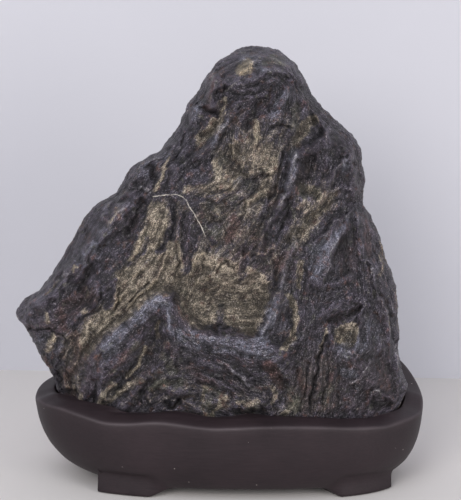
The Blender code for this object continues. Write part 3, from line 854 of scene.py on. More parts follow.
GOLD_AND_HIGHLIGHT_LINES = (
    # cream crests in the worn zones: a warm cream colour, brightened as painted highlight where the crests
    # catch the light
    (11, 0.8, ((243, 69), (247, 66))),
    (3, 0.63, ((76, 267), (72, 271))),
    (2.5, 0.49, ((58, 281), (52, 288), (45, 296))),
    (3, 0.49, ((118, 210), (112, 218), (106, 228))),
    (2.4, 0.42, ((232, 144), (233, 160))),
    (2, 0.42, ((251, 172), (260, 168), (267, 167))),
    (2, 0.42, ((255, 124), (257, 140))),
    (2, 0.49, ((214, 196), (232, 188))),
    (2.4, 0.49, ((157, 280), (150, 288), (142, 294), (135, 300), (128, 307))),
    (2, 0.42, ((125, 290), (120, 298), (114, 305))),
    (2.4, 0.42, ((150, 224), (145, 232), (139, 246), (132, 264))),
    (2.4, 0.42, ((142, 272), (132, 276), (118, 279))),
    (2, 0.42, ((179, 248), (180, 266))),
    (2, 0.49, ((195, 268), (197, 258), (202, 254))),
    (3, 0.35, ((190, 275), (200, 282), (209, 279))),
    (2, 0.42, ((206, 290), (212, 296))),
    (4, 0.35, ((240, 328), (248, 333), (255, 330))),
    (3, 0.28, ((180, 308), (184, 316))),
    (2, 0.42, ((102, 318), (112, 306), (122, 298))),
    (2, 0.42, ((96, 330), (104, 322), (114, 314))),
    (2, 0.35, ((86, 318), (84, 334))),
    (3.5, 0.49, ((54, 336), (50, 344))),
    (2.5, 0.56, ((338, 342), (345, 341), (353, 342))),
    (2.4, 0.35, ((318, 206), (308, 221), (294, 236))),
    (2, 0.42, ((292, 330), (289, 342))),
    (2.4, 0.42, ((142, 350), (138, 362), (131, 372))),
    (2, 0.35, ((281, 304), (285, 300))),
    (2.5, 0.35, ((206, 416), (216, 412))),
    (2, 0.35, ((117, 393), (124, 388))),
)
# Painted sheen: blue grey where the proud folds catch the light from above.
PAINTED_SHEEN_AREAS = (
    (4, 1.0, ((350, 216), (333, 231), (314, 245), (308, 262), (307, 276), (318, 280), (326, 270), (331, 255),
     (339, 240), (346, 228))),
)
PAINTED_SHEEN_LINES = (
    # painted sheen: bluish faces on the proud folds, where they catch the light from above
    (8, 0.8, ((262, 66), (250, 58), (244, 62))),
    (8, 0.9, ((198, 106), (196, 116))),
    (5, 0.9, ((226, 122), (218, 134), (212, 148))),
    (9, 0.8, ((286, 90), (280, 104), (275, 114))),
    (6, 0.8, ((348, 158), (346, 168))),
    (6, 0.9, ((294, 152), (294, 165), (288, 186))),
    (12, 0.6, ((165, 150), (150, 162), (140, 172))),
    (12, 0.6, ((108, 230), (95, 250), (80, 262))),
    (10, 1.0, ((160, 301), (147, 309), (134, 322), (120, 334), (106, 346))),
    (6, 1.0, ((168, 305), (170, 322), (172, 334))),
    (12, 0.9, ((178, 334), (200, 344), (226, 346), (250, 350), (268, 350))),
    (10, 1.0, ((276, 302), (270, 318), (264, 334), (258, 346))),
    (7, 0.8, ((296, 240), (286, 262), (283, 286))),
    (5, 0.7, ((300, 336), (306, 322))),
    (16, 0.6, ((345, 352), (362, 340), (372, 330))),
    (7, 0.9, ((342, 372), (352, 374))),
    (8, 0.7, ((116, 345), (104, 356))),
    (5, 0.7, ((134, 362), (128, 364))),
    (5, 0.7, ((236, 185), (242, 180))),
    (8, 0.6, ((60, 346), (54, 356))),
    (6, 0.7, ((52, 345), (38, 340))),
    (7, 0.6, ((250, 364), (256, 372))),
)
DARK_AND_SHADE_AREAS = (
    # near-black purple faces, darker towards the lower right, and painted shade on faces turned from the
    # light
    (12, 0.85, ((288, 352), (330, 345), (372, 350), (398, 372), (396, 408), (340, 416), (290, 412))),
    (4, 0.8, ((336, 246), (346, 238), (358, 240), (360, 258), (358, 274), (346, 277), (336, 276))),
)
# Painted shade: dark lines in hollows, grooves and under overhangs, over dark purple stone.
DARK_AND_SHADE_LINES = (
    (6, 0.7, ((356, 145), (358, 170), (358, 200))),
    (8, 0.8, ((310, 158), (309, 170), (305, 182))),
    (6, 0.8, ((263, 102), (256, 110), (248, 124))),
    (7, 0.5, ((238, 104), (232, 120))),
    (4, 0.9, ((205, 107), (213, 111), (220, 110))),
    (5, 0.7, ((283, 154), (279, 168), (275, 182), (270, 194))),
    (8, 0.6, ((305, 160), (302, 174), (297, 188))),
    (8, 0.9, ((140, 208), (134, 220), (127, 234))),
    (5, 0.9, ((102, 246), (90, 256), (88, 268), (84, 282), (78, 290))),
    (5, 0.7, ((151, 165), (156, 182))),
    (9, 0.55, ((190, 218), (187, 240), (187, 262))),
    (14, 0.7, ((92, 366), (88, 384), (92, 400))),
    (8, 0.6, ((130, 330), (142, 328), (150, 316))),
    (8, 0.7, ((150, 356), (144, 372), (138, 384))),
    (7, 0.8, ((196, 328), (214, 332), (236, 334), (250, 341))),
    (4, 0.8, ((213, 328), (219, 322), (226, 328))),
    (10, 0.7, ((170, 350), (186, 362), (196, 374))),
    (10, 0.6, ((240, 362), (262, 364), (276, 376))),
    (12, 0.7, ((340, 366), (332, 384), (344, 398), (360, 404))),
    (8, 0.7, ((306, 300), (306, 290), (308, 276))),
    (10, 0.5, ((312, 330), (310, 346))),
    (8, 0.8, ((332, 320), (345, 316), (358, 308))),
    (9, 0.7, ((374, 404), (390, 403))),
    (6, 0.6, ((386, 318), (384, 340))),
    (10, 0.5, ((322, 300), (334, 296))),
    (12, 0.7, ((86, 300), (72, 310), (60, 324))),
    (7, 0.8, ((176, 296), (178, 308), (186, 320))),
    (6, 0.6, ((60, 390), (70, 396))),
    (6, 0.8, ((182, 366), (178, 372))),
    (6, 0.6, ((222, 384), (236, 392))),
    (5, 0.6, ((287, 200), (284, 226))),
)
SMOOTH_AREAS = (
    # polished skin
    (6, 1.0, ((222, 60), (238, 48), (268, 47), (290, 56), (300, 72), (290, 74), (270, 72), (250, 80),
     (228, 82))),
)
SMOOTH_LINES = (
    (10, 0.9, ((214, 76), (209, 92), (212, 106))),
    (18, 0.8, ((125, 200), (98, 232), (74, 262), (48, 290))),
    (15, 0.7, ((32, 300), (36, 318))),
    (12, 0.9, ((347, 242), (348, 272))),
    (10, 0.8, ((344, 226), (322, 250), (314, 272))),
    (8, 0.8, ((366, 216), (368, 250))),
    (14, 0.7, ((100, 352), (90, 384))),
    (8, 0.7, ((150, 306), (160, 301), (170, 312), (170, 328))),
    (10, 0.6, ((196, 330), (222, 334), (250, 342))),
    (9, 0.6, ((274, 305), (266, 330))),
    (12, 0.6, ((184, 118), (172, 146), (152, 160))),
    (14, 0.5, ((376, 318), (382, 350), (384, 384))),
    (10, 0.6, ((335, 135), (350, 156), (352, 190))),
)
MARKS = {
    Tone.CLAY: marks(CLAY_AREAS, CLAY_LINES),
    Tone.RUST: marks(RUST_AREAS, RUST_LINES),
    Tone.MOSS: marks((), MOSS_LINES),
    Tone.PALE: marks((), PAINTED_HIGHLIGHT_LINES),
    Tone.GOLD: marks((), GOLD_AND_HIGHLIGHT_LINES),
    Tone.SLATE: marks(PAINTED_SHEEN_AREAS, PAINTED_SHEEN_LINES),
    Tone.DEEP: marks(DARK_AND_SHADE_AREAS, DARK_AND_SHADE_LINES),
    Tone.SMOOTH: marks(SMOOTH_AREAS, SMOOTH_LINES),
}


# -------- bedding


class Bedding:
    """The way the stone's layers run at each point of the sheet."""

    # The net's step and how far it reaches past the sheet, and how softly a sample gives way to the next.
    STEP = 4.0
    MARGIN = 20.0
    SOFTNESS = 60.0
    FALL = -1.6

    def __init__(self, samples: tuple) -> None:
        """Spread the samples over a coarse net of the sheet."""
        self.columns = np.arange(-self.MARGIN, SHEET.columns + self.MARGIN + self.STEP, self.STEP)
        self.rows = np.arange(-self.MARGIN, SHEET.rows + self.MARGIN + self.STEP, self.STEP)
        columns, rows = np.meshgrid(self.columns, self.rows)
        known = np.array(samples, float)
        gap = (columns[..., None] - known[:, 0]) ** 2 + (rows[..., None] - known[:, 1]) ** 2
        weight = (gap + self.SOFTNESS) ** self.FALL
        double = 2.0 * np.radians(known[:, 2])
        cosine = (weight * np.cos(double)).sum(axis=2)
        sine = (weight * np.sin(double)).sum(axis=2)
        size = np.hypot(cosine, sine)
        self.net = np.stack([cosine / size, sine / size], axis=2)

    def ways(self, cells: Array) -> Array:
        """Unit directions of the layers on the sheet, as right and up, at points of it."""
        column = np.clip((cells[:, 0] - self.columns[0]) / self.STEP, 0.0, len(self.columns) - 1.001)
        row = np.clip((cells[:, 1] - self.rows[0]) / self.STEP, 0.0, len(self.rows) - 1.001)
        double = read_net(self.net, row, column)
        angle = 0.5 * np.arctan2(double[:, 1], double[:, 0])
        return np.column_stack([np.cos(angle), np.sin(angle)])

    def along(self, points: Array, normals: Array) -> Array:
        """Unit directions of the layers in space, lying in the stone's skin.

        Args:
            points: positions in millimetres.
            normals: the skin's normals there.

        Returns:
            Directions as n x 3.
        """
        way = self.ways(SHEET.cells(points))
        flat = np.column_stack([way[:, 0], np.zeros(len(way)), way[:, 1]])
        flat -= (flat * normals).sum(axis=1)[:, None] * normals
        return flat / np.maximum(np.linalg.norm(flat, axis=1), 1e-6)[:, None]

    def streaks(self, source: GradientNoise, points: Array, normals: Array, size: float,
                reach: float, taps: int = 5) -> Array:
        """Noise drawn out along the layers.

        Args:
            source: the noise.
            points: positions in millimetres.
            normals: the skin's normals there.
            size: width of a wave across the layers, in millimetres.
            reach: how far the noise is drawn out each way, in millimetres.
            taps: steps each way.

        Returns:
            Numbers from about -1 to 1.
        """
        total = source.at(points / size)
        start = self.along(points, normals)
        for sign in (-1.0, 1.0):
            place = points.copy()
            heading = start * sign
            for _ in range(taps):
                place = place + heading * (reach / taps)
                total += source.at(place / size)
                turned = self.along(place, normals)
                flip = np.sign((turned * heading).sum(axis=1))
                heading = turned * np.where(flip == 0.0, 1.0, flip)[:, None]
        return total / math.sqrt(2.0 * taps + 1.0) / 1.2


# -------- stone


@dataclass
class StoneForm:
    """The plain form of the stone, without its relief."""

    top: float = 240.0
    bottom: float = 25.5
    # Outline seen from the front, as (height, x) down each side.
    left: Line = (
        (240, 14.5), (239.5, 10.5), (236.5, 2.5), (230.5, -5.5), (223.5, -10.5), (214.5, -15.5),
        (208.5, -20.5), (199.5, -23.5), (190.5, -29.5), (182.5, -35.5), (177.5, -45.5), (173.5, -50.5),
        (168.5, -53.5), (162.5, -56.5), (158.5, -59.5), (151.5, -71.5), (144.5, -77.5), (132.5, -83.5),
        (122.5, -89.5), (112.5, -95.5), (103.5, -102.5), (98.5, -110.5), (92.5, -113.5), (88.5, -112.5),
        (84.5, -109.5), (75.5, -105.5), (66.5, -101.5), (57.5, -95.5), (44.5, -90.5), (33.5, -84.5),
        (27.5, -68.5), (25.5, -48.5),
    )
    right: Line = (
        (240, 14.5), (239.5, 21.5), (237.5, 30.5), (231.5, 37.5), (222.5, 42.5), (214.5, 46.5),
        (204.5, 57.5), (191.5, 71.5), (185.5, 74.5), (170.5, 76.5), (154.5, 76.5), (149.5, 80.5),
        (135.5, 86.5), (121.5, 91.5), (109.5, 95.5), (98.5, 97.5), (76.5, 97.5), (64.5, 99.5),
        (53.5, 103.5), (44.5, 100.5), (33.5, 93.5), (27.5, 77.5), (25.5, 56.5),
    )
    # Depth in front of and behind the middle plane, as (height, front, back).
    depths: tuple = (
        (240, 1, 1), (237.5, 11, 12), (231.5, 19, 20), (221.5, 25, 26), (206.5, 28, 31), (191.5, 30, 34),
        (161.5, 34, 37), (131.5, 38, 40), (101.5, 41, 42), (71.5, 42, 43), (44.5, 39, 41), (33.5, 34, 36),
        (27.5, 24, 26), (25.5, 16, 18),
    )
    # How square the plan is at each end, as (height, left, right): 2 is an ellipse.
    squareness: tuple = (
        (240, 2.0, 2.0), (201.5, 2.0, 2.1), (161.5, 2.0, 2.4), (101.5, 1.9, 2.8), (25.5, 1.9, 2.9),
    )
    # How far the corners of each table are rounded, in millimetres.
    outline_blur: float = 2.0
    depth_blur: float = 7.0
    square_blur: float = 9.0
    # The bands at the foot and at the crown that are cut finely, as (height, number of levels).
    foot_band: tuple[float, int] = (12.0, 24)
    crown_band: tuple[float, int] = (9.0, 36)
    # How much closer together the skin's points are at the front than on average.
    front_share: float = 0.42

    def read(self, rows: tuple, column: int, heights: Array, blur: float) -> Array:
        """Read one column of a table of heights, with its corners rounded.

        Args:
            rows: the table, each row starting with its height.
            column: which column.
            heights: where to read it.
            blur: how far each corner is rounded, in millimetres.

        Returns:
            The values.
        """
        ordered = sorted(rows)
        known = [row[0] for row in ordered]
        values = [row[column] for row in ordered]
        spread = np.linspace(-1.0, 1.0, 9)
        weights = np.cos(0.5 * math.pi * spread * 0.9)
        room = np.minimum(blur, np.minimum(self.top - heights, heights - self.bottom) * 0.8)
        total = sum(weight * np.interp(heights + room * step, known, values)
                    for weight, step in zip(weights, spread))
        return total / weights.sum()

    def sections(self, levels: int = 220, steps: int = 720, columns: int = 320) -> tuple:
        """Closed plan curves of the stone, evenly spaced along each curve.

        Args:
            levels: how many heights.
            steps: points used to measure a curve.
            columns: points kept on a curve.

        Returns:
            The heights, the points as levels x columns x 2, and the part of the stone's skin
            that lies below each height.
        """
        (foot, foot_levels), (crown, crown_levels) = self.foot_band, self.crown_band
        between = levels - foot_levels - crown_levels
        heights = np.concatenate([
            np.linspace(self.bottom, self.bottom + foot, foot_levels, endpoint=False),
            np.linspace(self.bottom + foot, self.top - crown, between, endpoint=False),
            np.linspace(self.top - crown, self.top, crown_levels),
        ])
        left, right = (self.read(side, 1, heights, self.outline_blur) for side in (self.left, self.right))
        middle = 0.5 * (left + right)
        angle = np.linspace(0.0, 2.0 * math.pi, steps + 1)
        cosine, sine = np.cos(angle)[None, :], np.sin(angle)[None, :]
        on_right = cosine > 0.0
        square = np.where(on_right, self.read(self.squareness, 2, heights, self.square_blur)[:, None],
                          self.read(self.squareness, 1, heights, self.square_blur)[:, None])
        reach = np.where(on_right, (right - middle)[:, None], (middle - left)[:, None])
        depth = np.where(sine < 0.0, self.read(self.depths, 1, heights, self.depth_blur)[:, None],
                         self.read(self.depths, 2, heights, self.depth_blur)[:, None])
        x = middle[:, None] + reach * np.sign(cosine) * np.abs(cosine) ** (2.0 / square)
        y = depth * np.sign(sine) * np.abs(sine) ** (2.0 / square)
        run = np.hypot(np.diff(x, axis=1), np.diff(y, axis=1))
        length = np.concatenate([np.zeros((len(heights), 1)), np.cumsum(run, axis=1)], axis=1)
        points = np.empty((len(heights), columns + 1, 2))
        even = np.linspace(0.0, 1.0, columns + 1)
        for row in range(len(heights)):
            fraction = length[row] / length[row, -1]
            points[row, :, 0] = np.interp(even, fraction, x[row])
            points[row, :, 1] = np.interp(even, fraction, y[row])
        slant = np.linalg.norm(np.diff(points, axis=0), axis=2).mean(axis=1) + np.diff(heights)
        skin = np.concatenate([[0.0], np.cumsum(slant * 0.5 * (length[1:, -1] + length[:-1, -1]))])
        return heights, points, skin / skin[-1]

    def wrap(self, ball: Array) -> Array:
        """Move the points of a unit ball onto the plain form.

        Args:
            ball: points of the ball as n x 3.

        Returns:
            Positions in millimetres.
        """
        heights, points, skin = self.sections()
        z = np.interp(0.5 * (1.0 + ball[:, 2]), skin, heights)
        row = np.interp(z, heights, np.arange(len(heights)))
        from_front = np.mod(np.arctan2(ball[:, 1], ball[:, 0]) + 1.5 * math.pi, 2.0 * math.pi) - math.pi
        from_side = from_front - self.front_share * np.sin(from_front) - 0.5 * math.pi
        turn = np.mod(from_side / (2.0 * math.pi), 1.0)
        return np.column_stack([read_net(points, row, turn * (points.shape[1] - 1)), z])


@dataclass(frozen=True)
class SchistFinish:
    """Water-worn schist, hand polished: dark hard layers with a soft sheen, dull clay between them.

    The eye gets a fine grit, drawn out a little along the layers, with painted light on its crests
    and painted shade in its pits, grooves and hollows; a painted blue-grey sheen and painted
    highlights on the proud folds; and dry clay where the soft layers are worn back. The real grit is
    finer than 0.5 mm, and is drawn at 0.55 and 0.75 mm so that it shows.
    """

    dark: str = "#2b252d"
    grey: str = "#413d46"
    brown: str = "#453a37"
    clay: str = "#6b6156"
    clay_light: str = "#82786a"
    rust: str = "#4a312b"
    moss: str = "#504f42"
    # The next four colours are laid partly as painted light and shade: the pale one for painted highlights
    # and glints, the gold one as a cream colour brightened as painted highlight, the blue-grey one as
    # painted sheen, and the deep one for near-black stone and painted shade.
    pale: str = "#918d90"
    gold: str = "#8d8068"
    blue_grey_and_sheen: str = "#5a5b66"
    deep: str = "#2f272c"
    quartz: str = "#d2cabf"
    ior: float = 1.5
    # Roughness of the polished rock and of the dry clay.
    polished: float = 0.42
    dull: float = 0.85
    # Sizes of the patterns in millimetres, from the finest to the widest.
    speck: float = 0.55
    grit: float = 0.75
    fine_layer: float = 0.9
    wavy_layer: float = 1.5
    broad_layer: float = 2.4
    worn: float = 1.6
    tinge: float = 2.6
    mottle: float = 5.0
    stain: float = 7.0
    patch: float = 11.0
    # How strongly the painted light on crests and the painted shade in pits differ, and how dark the whole
    # is: powers of the contrast.
    contrast: float = 2.3
    shade: float = -0.2
    # Heights of the bumps in millimetres.
    grit_relief: float = 0.45
    fine_relief: float = 0.3
    broad_relief: float = 0.2
    thread_relief: float = 0.15
    groove_depth: float = 0.25

    def material(self) -> bpy.types.Material:
        """Build the node material.

        Returns:
            The material.
        """
        material, shader, add = start_material("water_worn_schist")
        place = add("TexCoord", out="Object")
        masks = []
        for name in ("skin_a", "skin_b", "skin_c"):
            stored = add("Attribute", attribute_name=name)
            masks += [*add("SeparateColor", {0: stored}).node.outputs, stored.node.outputs["Alpha"]]
        clay_mark, smooth_mark, rust_mark, sheen_mark = masks[:4]
        moss_mark, highlight_mark, gold_and_highlight_mark, dark_and_shade_mark = masks[4:8]
        crease, vein_gap, vein_mark, cavity = masks[8:]
        flow = add("Attribute", out="Vector", attribute_name="bedding")

        def noise(size: float, detail: float, at: Socket = place) -> Socket:
            """Noise around 0 whose waves are a size in millimetres."""
            scale = 1.0 / (size * MM)
            raw = add("TexNoise", {"Vector": at, "Scale": scale, "Detail": detail, "Roughness": 0.55})
            return add("Math", {0: raw, 1: 3.0, 2: -1.5}, operation="MULTIPLY_ADD")

        def layered(size: float, taps: int) -> Socket:
            """Noise averaged along the bedding, which leaves fine layers, around 0."""
            total = noise(size, 1.0)
            for tap in (*range(-taps, 0), *range(1, taps + 1)):
                step = (0.75 * size * MM * tap,) * 3
                moved = add("VectorMath", {0: flow, 1: step, 2: place}, operation="MULTIPLY_ADD")
                total = add("Math", {0: total, 1: noise(size, 1.0, moved)}, operation="ADD")
            return add("Math", {0: total, 1: 1.0 / math.sqrt(2 * taps + 1)}, operation="MULTIPLY")

        def weigh(*parts: tuple) -> Socket | float:
            """Numbers added up, each times its weight."""
            total = 0.0
            for socket, weight in parts:
                total = add("Math", {0: socket, 1: weight, 2: total}, operation="MULTIPLY_ADD")
            return total

        def ramp(parts: tuple, low: float, high: float, at_low: float = 0.0,
                 at_high: float = 1.0) -> Socket:
            """Weighted numbers added up, then moved from low..high to another range and held there."""
            return add("MapRange", {0: weigh(*parts), 1: low, 2: high, 3: at_low, 4: at_high},
                       interpolation_type="SMOOTHSTEP")

        def size_of(number: Socket, offset: float) -> Socket:
            """How far a number is from an offset."""
            return add("Math", {0: weigh((number, 1.0), (offset, -1.0))}, operation="ABSOLUTE")

        fine = layered(self.fine_layer, 2)
        wavy = layered(self.wavy_layer, 3)
        broad = layered(self.broad_layer, 2)
        grit = layered(self.grit, 1)
        speck = noise(self.speck, 0.0)
        worn = noise(self.worn, 2.0)
        tinge = noise(self.tinge, 2.0)
        mottle = noise(self.mottle, 3.0)
        stain = noise(self.stain, 4.0)
        patch = noise(self.patch, 4.0)

        # The dark rock and the clay are each mixed from two tones, and the clay has brown stains, which also
        # darken its creases as painted shade.
        clay_share = ramp(((clay_mark, 1.0), (mottle, 0.3), (broad, 0.35), (fine, 0.15)), 0.1, 0.9)
        dark_share = ramp(((patch, 0.8), (stain, 0.4)), -0.6, 0.7)
        light_share = ramp(((patch, 0.5), (stain, 0.4), (broad, 0.3)), -0.8, 0.8)
        stain_and_crease_shade = ramp(((stain, 0.8), (crease, 0.4)), -1.0, 0.0, 0.8, 0.0)
        dark = add("Mix", {0: dark_share, 6: linear_colour(self.dark), 7: linear_colour(self.grey)}, **RGBA)
        clay = add("Mix", {0: light_share, 6: linear_colour(self.clay), 7: linear_colour(self.clay_light)},
                   **RGBA)
        clay = add("Mix", {0: stain_and_crease_shade, 6: clay, 7: linear_colour(self.brown)}, **RGBA)
        colour = add("Mix", {0: clay_share, 6: dark, 7: clay}, **RGBA)

        # Each coat laid over them: what places it, where it begins and where it is full, its
        # strongest share, and its colour.
        coats = (
            # near-black purple stone, and painted shade in hollows and on shaded faces
            (((dark_and_shade_mark, 1.0), (mottle, 0.5), (broad, 0.2)), 0.2, 0.9, 0.7, self.deep),
            # painted sheen: blue grey on the proud folds, and a little at random
            (((sheen_mark, 0.8), (stain, 0.5), (broad, 0.5)), 0.2, 1.0, 0.65, self.blue_grey_and_sheen),
            (((rust_mark, 1.0), (stain, 0.5)), 0.2, 1.1, 0.8, self.rust),
            (((moss_mark, 1.0), (stain, -0.5)), 0.2, 1.1, 0.8, self.moss),
            (((tinge, 0.6), (mottle, 1.0)), 0.15, 0.9, 0.75, self.rust),
            (((tinge, 0.6), (mottle, -1.0)), 0.25, 0.9, 0.55, self.moss),
            # cream colour, brightened as painted highlight on the crests
            (((gold_and_highlight_mark, 1.0), (worn, 0.35)), 0.15, 0.9, 0.6, self.gold),
            # painted highlights: pale lines on the crests
            (((highlight_mark, 1.0), (broad, 0.35)), 0.15, 0.9, 0.6, self.pale),
        )
        for placed_by, begins, full, strongest, code in coats:
            share = ramp(placed_by, begins, full, 0.0, strongest)
            colour = add("Mix", {0: share, 6: colour, 7: linear_colour(code)}, **RGBA)

        # Painted light and shade: crests are lightened, and pits, grooves, creases and hollows are darkened
        # in the colour, standing in for the light and shade of the fine relief.
        calm = weigh((smooth_mark, -0.35), (clay_share, -0.1), (1.15, 1.0))
        lines = ramp(((size_of(broad, 0.0), 1.0),), 0.0, 0.14, 1.0, 0.0)
        groove = add("Math", {0: lines, 1: ramp(((stain, 1.0),), -0.5, 0.5)}, operation="MULTIPLY")
        thread = ramp(((size_of(wavy, 0.0), 1.0),), 0.0, 0.13, 1.0, 0.0)
        texture = weigh((grit, 0.9), (fine, 0.3), (speck, 1.25), (thread, 0.3), (groove, -0.5))
        quiet = add("Math", {0: texture, 1: calm}, operation="MULTIPLY")
        proud = weigh((quiet, 1.0), (crease, 0.4), (cavity, 0.55), (self.shade, 1.0))
        light = add("Math", {0: self.contrast, 1: proud}, operation="POWER")
        colour = add("Mix", {0: 1.0, 6: colour, 7: light}, **RGBA, blend_type="MULTIPLY")

        glint = ramp(((quiet, 1.0), (sheen_mark, 0.3), (highlight_mark, 0.4)), 0.6, 1.6, 0.0, 0.45)
        colour = add("Mix", {0: glint, 6: colour, 7: linear_colour(self.pale)}, **RGBA)

        # The vein is a thin ragged line of quartz that fades in and out.
        ragged = weigh((vein_gap, 1.0), (worn, 0.03))
        core = ramp(((size_of(ragged, 0.5), 1.0),), 0.008, 0.036, 1.0, 0.0)
        shown = ramp(((vein_mark, 1.0), (tinge, 0.8)), 0.3, 1.3)
        line = add("Math", {0: core, 1: shown}, operation="MULTIPLY")
        colour = add("Mix", {0: line, 6: colour, 7: linear_colour(self.quartz)}, **RGBA)

        shine = weigh((smooth_mark, -0.06), (grit, 0.1), (self.polished, 1.0))
        roughness = add("Mix", {0: clay_share, 2: shine, 3: self.dull})
        relief = weigh((grit, self.grit_relief), (fine, self.fine_relief), (broad, self.broad_relief),
                       (thread, self.thread_relief), (groove, -self.groove_depth))
        height = add("Math", {0: relief, 1: calm}, operation="MULTIPLY")
        bump = add("Bump", {"Height": height, "Strength": 1.0, "Distance": MM})
        wire(shader, {"Base Color": colour, "Roughness": roughness, "Normal": bump})
        shader.inputs["IOR"].default_value = self.ior
        return material


@dataclass(frozen=True)
class Waves:
    """One kind of relief: its waves' size and height, and how far the bedding draws them out, in mm."""

    size: float
    height: float
    reach: float = 0.0


@dataclass
class Stone:
    """The stone: one piece, carved from a ball wrapped onto its plain form."""

    form: StoneForm = field(default_factory=StoneForm)
    finish: SchistFinish = field(default_factory=SchistFinish)
    bedding: Bedding = field(default_factory=lambda: Bedding(BEDDING))
    triangles: int = 194000
    # Heights between which the relief fades out, so that the stone still fits its seat.
    seat_fade: tuple[float, float] = (40.0, 47.0)
    # How much the drawn ridges are raised, how far they may stand out, and how uneven they are.
    drawn_gain: float = 1.95
    drawn_limit: float = 8.5
    uneven_size: float = 9.0
    # How far a drawn line strays, in cells, over waves of a size in millimetres.
    wide_stray: tuple[float, float] = (2.4, 6.0)
    fine_stray: tuple[float, float] = (1.5, 2.4)
    # How far the plain form is shrunk, so that the relief stands about its outline.
    skin_inset: float = 0.5
    # The relief, from its widest waves to its finest; folds stand upright on the back.
    warp: Waves = Waves(15.0, 3.0)
    fold: Waves = Waves(24.0, 2.6)
    fold_stretch: float = 2.2
    lump: Waves = Waves(21.0, 1.0)
    knob: Waves = Waves(8.0, 0.8)
    ledge: Waves = Waves(4.2, 0.8, 9.0)
    layer: Waves = Waves(2.2, 0.5, 4.0)
    crumb: Waves = Waves(1.8, 0.4)
    # A point's close and wide surroundings, as (rounds of smoothing, millimetres that count as 1).
    surroundings: tuple = ((4, 0.22), (36, 1.3))
    # Sizes of the patches of clay, rust and moss on the sides and the back.
    clay_patch: float = 34.0
    rust_patch: float = 25.0
    moss_patch: float = 20.0
    # The vein: cells from its line that count as 1, cells to the edge of its mark, and the rows
    # between which it fades.
    vein_span: float = 10.0
    vein_edge: tuple[float, float] = (9.0, 7.0)
    vein_fade: tuple[float, float] = (228.0, 238.0)

    def build(self) -> bpy.types.Object:
        """Carve and dress the stone.

        Returns:
            The stone's object.
        """
        bpy.ops.object.select_all(action="DESELECT")
        bpy.ops.mesh.primitive_ico_sphere_add(subdivisions=8, radius=1.0)
        piece = bpy.context.object
        piece.name = piece.data.name = "stone_skin"
        mesh = piece.data
        plain = self.form.wrap(vertex_positions(mesh) * MM)
        move_vertices(mesh, plain)
        move_vertices(mesh, self.carve(plain, vertex_normals(mesh)))
        thin = piece.modifiers.new("thin_out", "DECIMATE")
        thin.ratio = self.triangles / len(mesh.polygons)
        apply_modifiers(piece)
        bpy.ops.object.shade_smooth()
        self.mark(piece.data)
        piece.data.materials.append(self.finish.material())
        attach(piece, BODY)
        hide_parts("stone")
        return piece

    def wander(self, points: Array) -> Array:
        """How far a drawn line strays at each point, in cells across and down."""
        ways = []
        for seed in (31, 32):
            strays = ((seed, *self.wide_stray), (seed + 2, *self.fine_stray))
            ways.append(sum(cells * GradientNoise(each).at(points / size) for each, cells, size in strays))
        return np.column_stack(ways)

    def tone(self, tone: Tone, cells: Array) -> Array:
        """How strongly one tone is marked at points of the sheet."""
        total = np.zeros(len(cells))
        for mark in MARKS[tone]:
            mark.add_to(total, cells)
        return total

    def facing(self, points: Array, normals: Array) -> Array:
        """How much the skin faces the eye: 0 where it turns away, 1 where it is seen well."""
        return smooth_step(0.0, 0.35, (SHEET.toward_eye(points) * normals).sum(axis=1))

    def hidden(self, points: Array, normals: Array) -> Array:
        """How much the skin faces away from the eye: 0 up to its outline, 1 on the back."""
        return smooth_step(0.1, 0.6, -(SHEET.toward_eye(points) * normals).sum(axis=1))

    def carve(self, plain: Array, normals: Array) -> Array:
        """Add the relief to the plain form.

        Args:
            plain: positions on the plain form.
            normals: its normals.

        Returns:
            The carved positions.
        """
        facing = self.facing(plain, normals)
        fade = smooth_step(*self.seat_fade, plain[:, 2])
        warp = np.column_stack([GradientNoise(seed).at(plain / self.warp.size) for seed in (21, 22, 23)])
        bent = plain + self.warp.height * warp
        ledge = self.bedding.streaks(GradientNoise(12), bent, normals, self.ledge.size, self.ledge.reach)
        drawn = self.drawn(plain, ledge) * facing
        carved = plain + SHEET.toward_eye(plain) * (drawn * fade)[:, None]
        height = self.grown(plain, bent, normals, ledge) - self.skin_inset
        return carved + normals * (height * fade)[:, None]

    def drawn(self, plain: Array, ledge: Array) -> Array:
        """How far the drawn ridges stand out toward the eye, made uneven and softly limited.

        Args:
            plain: positions on the plain form.
            ledge: the ledges' noise there.

        Returns:
            Heights in millimetres.
        """
        height = np.zeros(len(plain))
        loose = SHEET.cells(plain) + self.wander(plain)
        for ridge in RIDGES:
            ridge.add_to(height, loose)
        uneven = GradientNoise(11).layers(plain / self.uneven_size, 2)
        height *= self.drawn_gain * (1.0 + 0.45 * uneven + 0.25 * ledge)
        return self.drawn_limit * np.tanh(height / self.drawn_limit)

    def grown(self, plain: Array, bent: Array, normals: Array, ledge: Array) -> Array:
        """The relief that isn't drawn: lumps, folds, knobs, ledges, layers and crumbs along the normals.

        Args:
            plain: positions on the plain form.
            bent: the same positions, warped.
            normals: the plain form's normals.
            ledge: the ledges' noise there.

        Returns:
            Heights in millimetres.
        """
        facing = self.facing(plain, normals)
        rough = 1.0 - 0.6 * self.tone(Tone.SMOOTH, SHEET.cells(plain)) * facing
        lumps = GradientNoise(11)
        height = self.lump.height * lumps.layers(bent / self.lump.size, 2) * (1.0 - 0.5 * facing)
        upright = bent / (self.fold.size * np.array([1.0, 1.0, self.fold_stretch]))
        fold = 1.0 - 3.5 * np.abs(GradientNoise(15).layers(upright, 2))
        height += self.fold.height * self.hidden(plain, normals) * np.clip(fold, -1.0, 1.0)
        height += self.knob.height * lumps.layers(bent / self.knob.size + 40.0, 2) * (0.35 + 0.65 * rough)
        seen = 0.4 + 0.6 * facing
        height += self.ledge.height * rough * seen * ledge
        layer = self.bedding.streaks(GradientNoise(13), plain, normals, self.layer.size, self.layer.reach)
        height += self.layer.height * rough * seen * layer
        crumb = GradientNoise(14).layers(plain / self.crumb.size, 2)
        return height + self.crumb.height * rough * crumb

